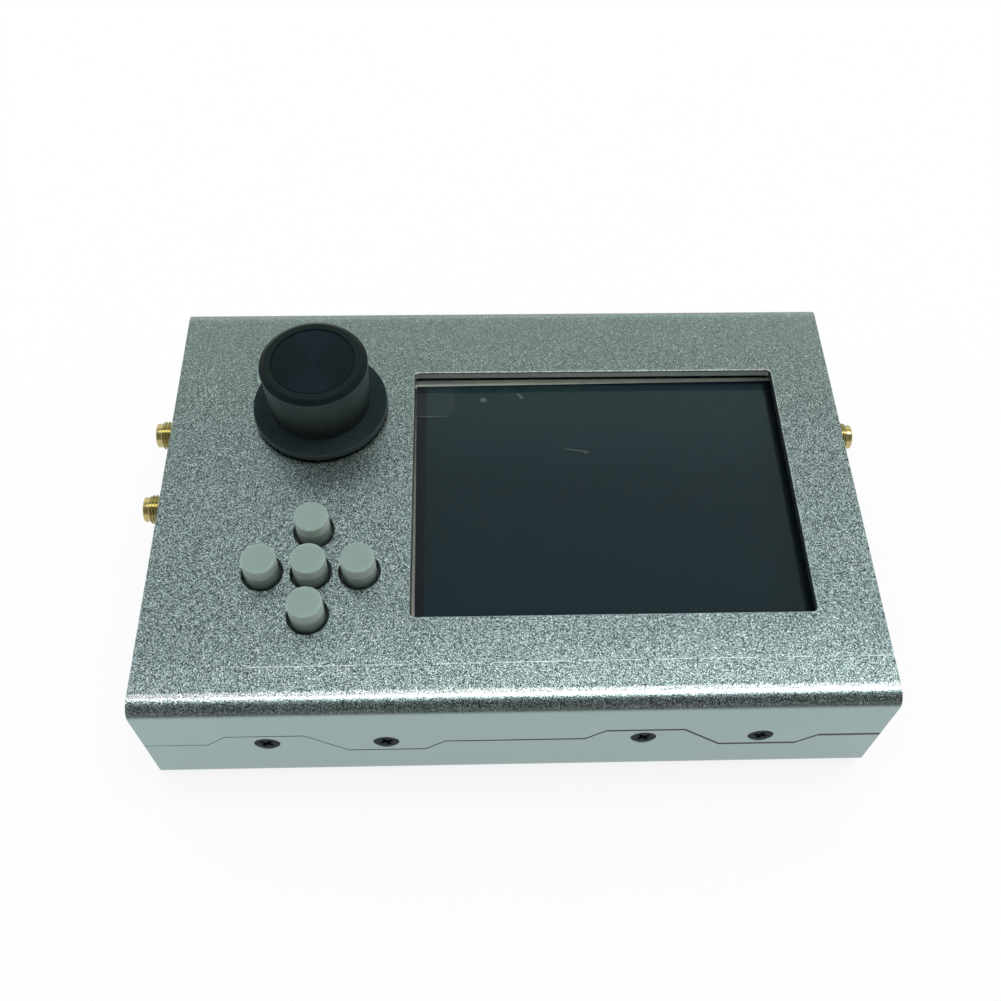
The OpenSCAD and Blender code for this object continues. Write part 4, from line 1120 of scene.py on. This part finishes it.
# %% Finish the plain stuffs
PLAIN_BUMP = 0.3


def plain_stuff(name, colour, roughness, metallic=0.0, patches=300.0, amount=0.12, drift=0.1, relief=0.01,
                **constants):
    """A stuff of one colour that drifts in shade and gloss, with a fine relief given in millimetres."""
    material, tree, shader = new_material(name, Metallic=metallic, **constants)
    skin = mottled(tree, shader, object_point(tree), (*colour, 1), patches, amount, roughness, drift)
    tree.links.new(bumped(tree, PLAIN_BUMP, relief, skin), shader.inputs["Normal"])
    return material


press_keys = KEYS + ["reset", "update"]
dress(plain_stuff("black_oxide", (0.009, 0.016, 0.018), 0.42, patches=900.0, amount=0.5,
                  Specular_IOR_Level=0.04), screws)
dress(plain_stuff("gold_plate", (0.47, 0.405, 0.175), 0.11, metallic=1.0, patches=400.0, relief=0.004),
      *sockets, *[f"{name}_sma_contact" for name in SOCKETS])
dress(plain_stuff("white_insulator", (0.72, 0.74, 0.7), 0.45, relief=0.008),
      *[f"{name}_sma_insulator" for name in SOCKETS])
dress(plain_stuff("black_plunger_plastic", (0.012, 0.013, 0.014), 0.45),
      *[f"{key}_plunger" for key in press_keys], "usb_tongue")
dress(plain_stuff("grey_switch_plastic", (0.12, 0.125, 0.13), 0.5), *[f"{key}_switch" for key in press_keys])
dress(plain_stuff("black_header_plastic", (0.013, 0.013, 0.014), 0.5),
      "header_sockets", "header_plugs", "audio_jack")
dress(plain_stuff("chip_epoxy", (0.017, 0.017, 0.019), 0.55, patches=1200.0, amount=0.3),
      "radio_chips", "control_chips")
dress(plain_stuff("ivory_plug_plastic", (0.7, 0.68, 0.58), 0.5), "flex_connector", "battery_plug")
dress(plain_stuff("amber_film", (0.5, 0.19, 0.03), 0.3, patches=600.0), "display_flex")
dress(plain_stuff("turned_brass", (0.62, 0.43, 0.16), 0.3, metallic=1.0),
      "lower_standoffs", "upper_standoffs")
dress(plain_stuff("bright_steel", (0.52, 0.53, 0.53), 0.28, metallic=1.0, patches=500.0),
      "board_screws", "encoder_body", "encoder_shaft", "usb_socket", "card_socket", "rf_shield")
dress(plain_stuff("pouch_foil", (0.58, 0.59, 0.6), 0.34, metallic=1.0, patches=90.0, relief=0.05),
      "battery_cell")
dress(plain_stuff("black_foam", (0.02, 0.02, 0.021), 0.9, patches=1500.0, amount=0.6, relief=0.1),
      "battery_pad")
dress(plain_stuff("red_lead", (0.36, 0.018, 0.014), 0.4), "battery_leads")

# %% [markdown]
# The display's frame
# A strip of the pale plastic frame shows round the screen. It is bright along the rear, and carries a
# painted shade on the two side rails, where it lies in the shade of the case. A thin painted shadow line
# runs along the outer edge of the rails.

# %% Finish the frame
REAR_RAIL_W = 0.85
RAIL_INSET = 3.0
# Painted shade on the side rails.
RAIL_SHADE = 0.34
RAIL_SOFT = 0.04
# A painted shadow line along the outer edge of the side rails.
RAIL_SHADOW_LINE_INSET = 0.13
RAIL_SHADOW_LINE_SHADE = 0.15


def frame_plastic():
    """Pale plastic with a painted shade on the side rails and a painted shadow line along their outer
    edges, but not on the rear rail."""
    material = plain_stuff("pale_frame_plastic", (0.88, 0.96, 0.83), 0.5, amount=0.4, relief=0.02)
    tree = material.node_tree
    base = tree.nodes["Principled BSDF"].inputs["Base Color"]
    along, across, _ = split(tree, object_point(tree))
    on_rear = math_node(tree, "GREATER_THAN", across, (WINDOW_HIGH[1] - REAR_RAIL_W) * MM)
    shade = 1.0
    # Painted shade on the side rails and a painted shadow line along their edges.
    for inset, level in ((RAIL_INSET, RAIL_SHADE), (RAIL_SHADOW_LINE_INSET, RAIL_SHADOW_LINE_SHADE)):
        middle = inside(tree, along, WINDOW_LOW[0] + inset, WINDOW_HIGH[0] - inset, RAIL_SOFT)
        kept = math_node(tree, "MAXIMUM", middle, on_rear)
        shade = product(tree, shade, graded(tree, kept, level, 1))
    tree.links.new(scaled(tree, base.links[0].from_socket, shade), base)
    return material


dress(frame_plastic(), "display_frame")

# %% [markdown]
# The circuit boards
# A board is green solder mask over copper. Traces show through the mask as slightly lighter lines
# that run square to each other. Cells measured by the larger of two sides are squares, and bands of
# that measure make such a street plan without drawing a single trace.

# %% Finish the boards
BOARD_CELLS = 420.0
BOARD_RANDOM = 0.8
TRACES_PER_CELL = 4.0
TRACE_EDGE = (0.55, 0.62)
MASK_GREEN = (0.008, 0.07, 0.03, 1)
TRACE_GREEN = (0.02, 0.14, 0.06, 1)


def solder_mask():
    """Green that is lighter in the upper part of each band of the distance across square cells, and rises
    there."""
    material, tree, shader = new_material("solder_mask", Metallic=0.0)
    point = object_point(tree)
    squares = {"Vector": point, "Scale": BOARD_CELLS, "Randomness": BOARD_RANDOM}
    cells = add_node(tree, "TexVoronoi", squares, distance="CHEBYCHEV")[0]
    bands = math_node(tree, "FRACT", product(tree, cells, TRACES_PER_CELL))
    trace = ranged(tree, bands, *TRACE_EDGE, 0.0, 1.0)
    green = blended(tree, trace, MASK_GREEN, TRACE_GREEN)
    mottled(tree, shader, point, green, patches=300.0, amount=0.15, gloss=0.32, drift=0.1)
    tree.links.new(bumped(tree, strength=0.4, depth=0.03, height=trace), shader.inputs["Normal"])
    return material


dress(solder_mask(), "control_board", "radio_board")

# %% [markdown]
# The dark screen under glass
# The screen is off. Its active area is a very dark blue grey, with a painted light towards the rear,
# and a blacker border runs round it. A little dust lies under the film, which we scatter as the
# middles of random cells that happen to be picked. The glass is bonded to the panel, so the panel
# carries the gloss of both and the clear glass itself hardly bends light. The film is a thin haze:
# mostly clear, with a little pale cover.

# %% Finish the display and the glass
ACTIVE_LOW = (-17.5, -29.2)
ACTIVE_HIGH = (57.1, 29.0)
BORDER_SOFT = 0.15
SCREEN_GREY = (0.006, 0.017, 0.021, 1)
# The rear of the active area has a painted light.
SCREEN_REAR_PAINTED_LIGHT = (0.011, 0.028, 0.031, 1)
SCREEN_BORDER = (0.005, 0.01, 0.014, 1)
DUST_GREY = (0.35, 0.4, 0.4, 1)
DUST_CELLS = 150.0
DUST_RARE = 0.93
DUST_SIZE = (0.015, 0.04)
DUST_COVER = 0.5
GLASS_TINT = (0.96, 0.98, 0.975, 1)
GLASS_INDEX = 1.02
SCUFF_GLOSS = 0.1
STRAIGHT_SHARE = 0.9
FILM_EDGE = 0.25
FILM_COVER = 0.02
FILM_EDGE_COVER = 0.14


def unlit_screen():
    """Two dark tones, split by the rectangle of the active area, the inner one with a painted light towards
    the rear, and pale specks at the middles of rare cells."""
    material, tree, shader = new_material("unlit_screen", Metallic=0.0, Specular_IOR_Level=0.26)
    point = object_point(tree)
    along, across, _ = split(tree, point)
    active = product(tree, inside(tree, along, ACTIVE_LOW[0], ACTIVE_HIGH[0], BORDER_SOFT),
                     inside(tree, across, ACTIVE_LOW[1], ACTIVE_HIGH[1], BORDER_SOFT))
    # Painted light towards the rear of the active area.
    rear = ranged(tree, across, 0.0, ACTIVE_HIGH[1] * MM, 0.0, 1.0)
    dark = blended(tree, active, SCREEN_BORDER, blended(tree, rear, SCREEN_GREY, SCREEN_REAR_PAINTED_LIGHT))
    dust = add_node(tree, "TexVoronoi", {"Vector": point, "Scale": DUST_CELLS})
    chance = add_node(tree, "SeparateColor", {0: dust["Color"]})[0]
    speck = product(tree, math_node(tree, "GREATER_THAN", chance, DUST_RARE),
                    ranged(tree, dust["Distance"], *DUST_SIZE, DUST_COVER, 0.0))
    dusted = blended(tree, speck, dark, DUST_GREY)
    mottled(tree, shader, point, dusted, patches=60.0, amount=0.08, gloss=0.08, drift=0.01)
    return material


def clear_glass():
    """Clear glass whose gloss is broken by faint scuffs. Only a small share of what the eye sees is bent:
    the rest, and all other rays, pass straight through, so plain light reaches the screen and it stays
    free of noise."""
    material, tree, shader = new_material("touch_glass_clear", Metallic=0.0, Transmission_Weight=1.0,
                                          IOR=GLASS_INDEX)
    point = object_point(tree)
    lines = {"Point": point, "Turn": 0.4, "Lines per metre": 300.0, "Width": 0.006}
    scuffs = add_node(tree, "Group", lines, node_tree=SCUFFS)["Mask"]
    gloss = product(tree, scuffs, SCUFF_GLOSS)
    mottled(tree, shader, point, GLASS_TINT, patches=80.0, amount=0.03, gloss=gloss, drift=0.0)
    rays = add_node(tree, "LightPath")
    passing = product(tree, rays["Is Camera Ray"], STRAIGHT_SHARE)
    for ray in ("Is Shadow Ray", "Is Diffuse Ray", "Is Glossy Ray"):
        passing = math_node(tree, "MAXIMUM", passing, rays[ray])
    clear = add_node(tree, "BsdfTransparent")[0]
    mixed = add_node(tree, "MixShader", {0: passing, 1: shader.outputs[0], 2: clear})[0]
    tree.links.new(mixed, tree.nodes["Material Output"].inputs["Surface"])
    return material


def film_haze():
    """A faint pale cover, denser in a narrow strip along the tab's front edge, where the cut film
    scatters light."""
    material = plain_stuff("film_haze", (0.2, 0.24, 0.24), 0.25, patches=250.0)
    tree = material.node_tree
    across = split(tree, object_point(tree))[1]
    edge = math_node(tree, "LESS_THAN", across, (tab_low[1] + FILM_EDGE) * MM)
    cover = math_node(tree, "MULTIPLY_ADD", edge, FILM_EDGE_COVER, FILM_COVER)
    tree.links.new(cover, tree.nodes["Principled BSDF"].inputs["Alpha"])
    return material


dress(unlit_screen(), panel)
dress(clear_glass(), glass)
dress(film_haze(), film_tab)
dress(plain_stuff("blister_haze", (0.5, 0.55, 0.52), 0.3, patches=900.0, amount=0.9, Alpha=0.07), blisters)

# %% [markdown]
# The studio
# The floor is a wide pale dish: flat under the radio and curling up far away, so that the radio has a
# pale ground behind it in low views too, with at most a strip of sky above the rim. Its colour makes
# the white background: camera, mirror and glass rays see it close to white, and it still darkens a
# little where the radio keeps light away. The light itself is a plain soft sky with a bright panel
# overhead, dimmer in front than behind.

# %% Build the floor
FLOOR_FLAT_R = 700
FLOOR_RIM_R = 1600
FLOOR_RIM_H = 280
FLOOR_BELOW = 0.03
FLOOR_ROWS = 48
FLOOR_SIDES = 96
FLOOR_GLOW = 0.86
FLOOR_WHITE = (0.88, 0.88, 0.88, 1)


def floor_grid():
    """A dish: height is nought out to a radius, then rises with the square of the distance beyond it."""
    radius = np.concatenate([[0], np.linspace(FLOOR_FLAT_R, FLOOR_RIM_R, FLOOR_ROWS)])
    rise = FLOOR_RIM_H * (np.maximum(radius - FLOOR_FLAT_R, 0) / (FLOOR_RIM_R - FLOOR_FLAT_R)) ** 2
    return turned(np.column_stack([radius, rise - FLOOR_BELOW]), FLOOR_SIDES, (0, 0, 0))


def floor_paint():
    """Matt white that also glows for camera, mirror and glass rays, so that it shows as the white
    ground."""
    material, tree, _ = new_material("floor_paint")
    tree.nodes.clear()
    rays = add_node(tree, "LightPath")
    mirrored = math_node(tree, "MAXIMUM", rays["Is Glossy Ray"], rays["Is Transmission Ray"])
    seen = math_node(tree, "MAXIMUM", rays["Is Camera Ray"], mirrored)
    matt = add_node(tree, "BsdfDiffuse", {"Color": FLOOR_WHITE})[0]
    glow = add_node(tree, "Emission", {"Color": (1, 1, 1, 1), "Strength": 1.0})[0]
    mixed = add_node(tree, "MixShader", {0: product(tree, seen, FLOOR_GLOW), 1: matt, 2: glow})[0]
    add_node(tree, "OutputMaterial", {"Surface": mixed})
    return material


floor = bpy.data.objects.new("floor", mesh_from_grids("floor", [floor_grid() * MM]))
scene.collection.objects.link(floor)
dress(floor_paint(), floor)

# %% Light the sky
CEILING_LEVEL = 5.2
CEILING_CENTRE = (0.05, 0.095)
CEILING_HALF = (0.42, 0.175)
CEILING_SOFT = 0.08
CEILING_LEAN = (0.25, 1.6)
CEILING_LOWEST = 0.1
SIDE_LEVEL = 0.35
SIDE_REACH = (0.45, 0.75)
FRONT_TO_REAR = (-0.3, 0.2)
SKY_REAR = [(0, 1.3), (32, 1.2), (44, 0.94), (52, 0.74), (62, 0.46), (74, 0.48), (90, 0.65)]
SKY_FRONT = [(0, 0.45), (15, 0.42), (30, 0.32), (42, 0.25), (54, 0.27), (66, 0.36), (78, 0.6), (90, 0.8)]


def sky_ramp(tree, elevation, stops):
    """Grey levels by elevation in degrees."""
    ramp = tree.nodes.new("ShaderNodeValToRGB")
    tree.links.new(elevation, ramp.inputs[0])
    while len(ramp.color_ramp.elements) < len(stops):
        ramp.color_ramp.elements.new(1.0)
    for element, (degrees, level) in zip(ramp.color_ramp.elements, stops):
        element.position = degrees / 90
        element.color = (level, level, level, 1)
    return ramp.outputs[0]


def ceiling_panel(tree, direction):
    """A soft rectangle overhead, brighter to the right: a direction over its own height is a point on a
    flat ceiling, and the panel is where that point lies near its middle both ways."""
    to_side, to_rear, height = direction
    lifted = math_node(tree, "MAXIMUM", height, CEILING_LOWEST)
    on_ceiling = [math_node(tree, "DIVIDE", value, lifted) for value in (to_side, to_rear)]
    lean = ranged(tree, on_ceiling[0], -CEILING_HALF[0], CEILING_HALF[0], *CEILING_LEAN)
    panel = product(tree, math_node(tree, "GREATER_THAN", height, CEILING_LOWEST), lean)
    for value, middle, half in zip(on_ceiling, CEILING_CENTRE, CEILING_HALF):
        off = away(tree, value, middle)
        panel = product(tree, panel, ranged(tree, off, half - CEILING_SOFT, half + CEILING_SOFT, 1.0, 0.0))
    return product(tree, panel, CEILING_LEVEL)


def soft_sky():
    """Level by elevation, from two ramps that blend from the front to the rear, with a soft wall of light
    on either side and the panel overhead."""
    world = bpy.data.worlds.new("soft_sky")
    world.use_nodes = True
    tree = world.node_tree
    tree.nodes.clear()
    direction = split(tree, add_node(tree, "TexCoord")["Generated"])
    elevation = math_node(tree, "DIVIDE", math_node(tree, "ARCSINE", direction[2]), math.pi / 2)
    plain = blended(tree, ranged(tree, direction[1], *FRONT_TO_REAR, 0.0, 1.0),
                    sky_ramp(tree, elevation, SKY_FRONT), sky_ramp(tree, elevation, SKY_REAR))
    sides = ranged(tree, math_node(tree, "ABSOLUTE", direction[0]), *SIDE_REACH, 0.0, SIDE_LEVEL)
    added = math_node(tree, "ADD", ceiling_panel(tree, direction), sides)
    level = add_node(tree, "VectorMath", {0: plain, 1: added}, operation="ADD")[0]
    light = add_node(tree, "Background", {"Color": level, "Strength": 1.0})[0]
    add_node(tree, "OutputWorld", {"Surface": light})
    return world


scene.world = soft_sky()
print("panel overhead:", CEILING_LEVEL)
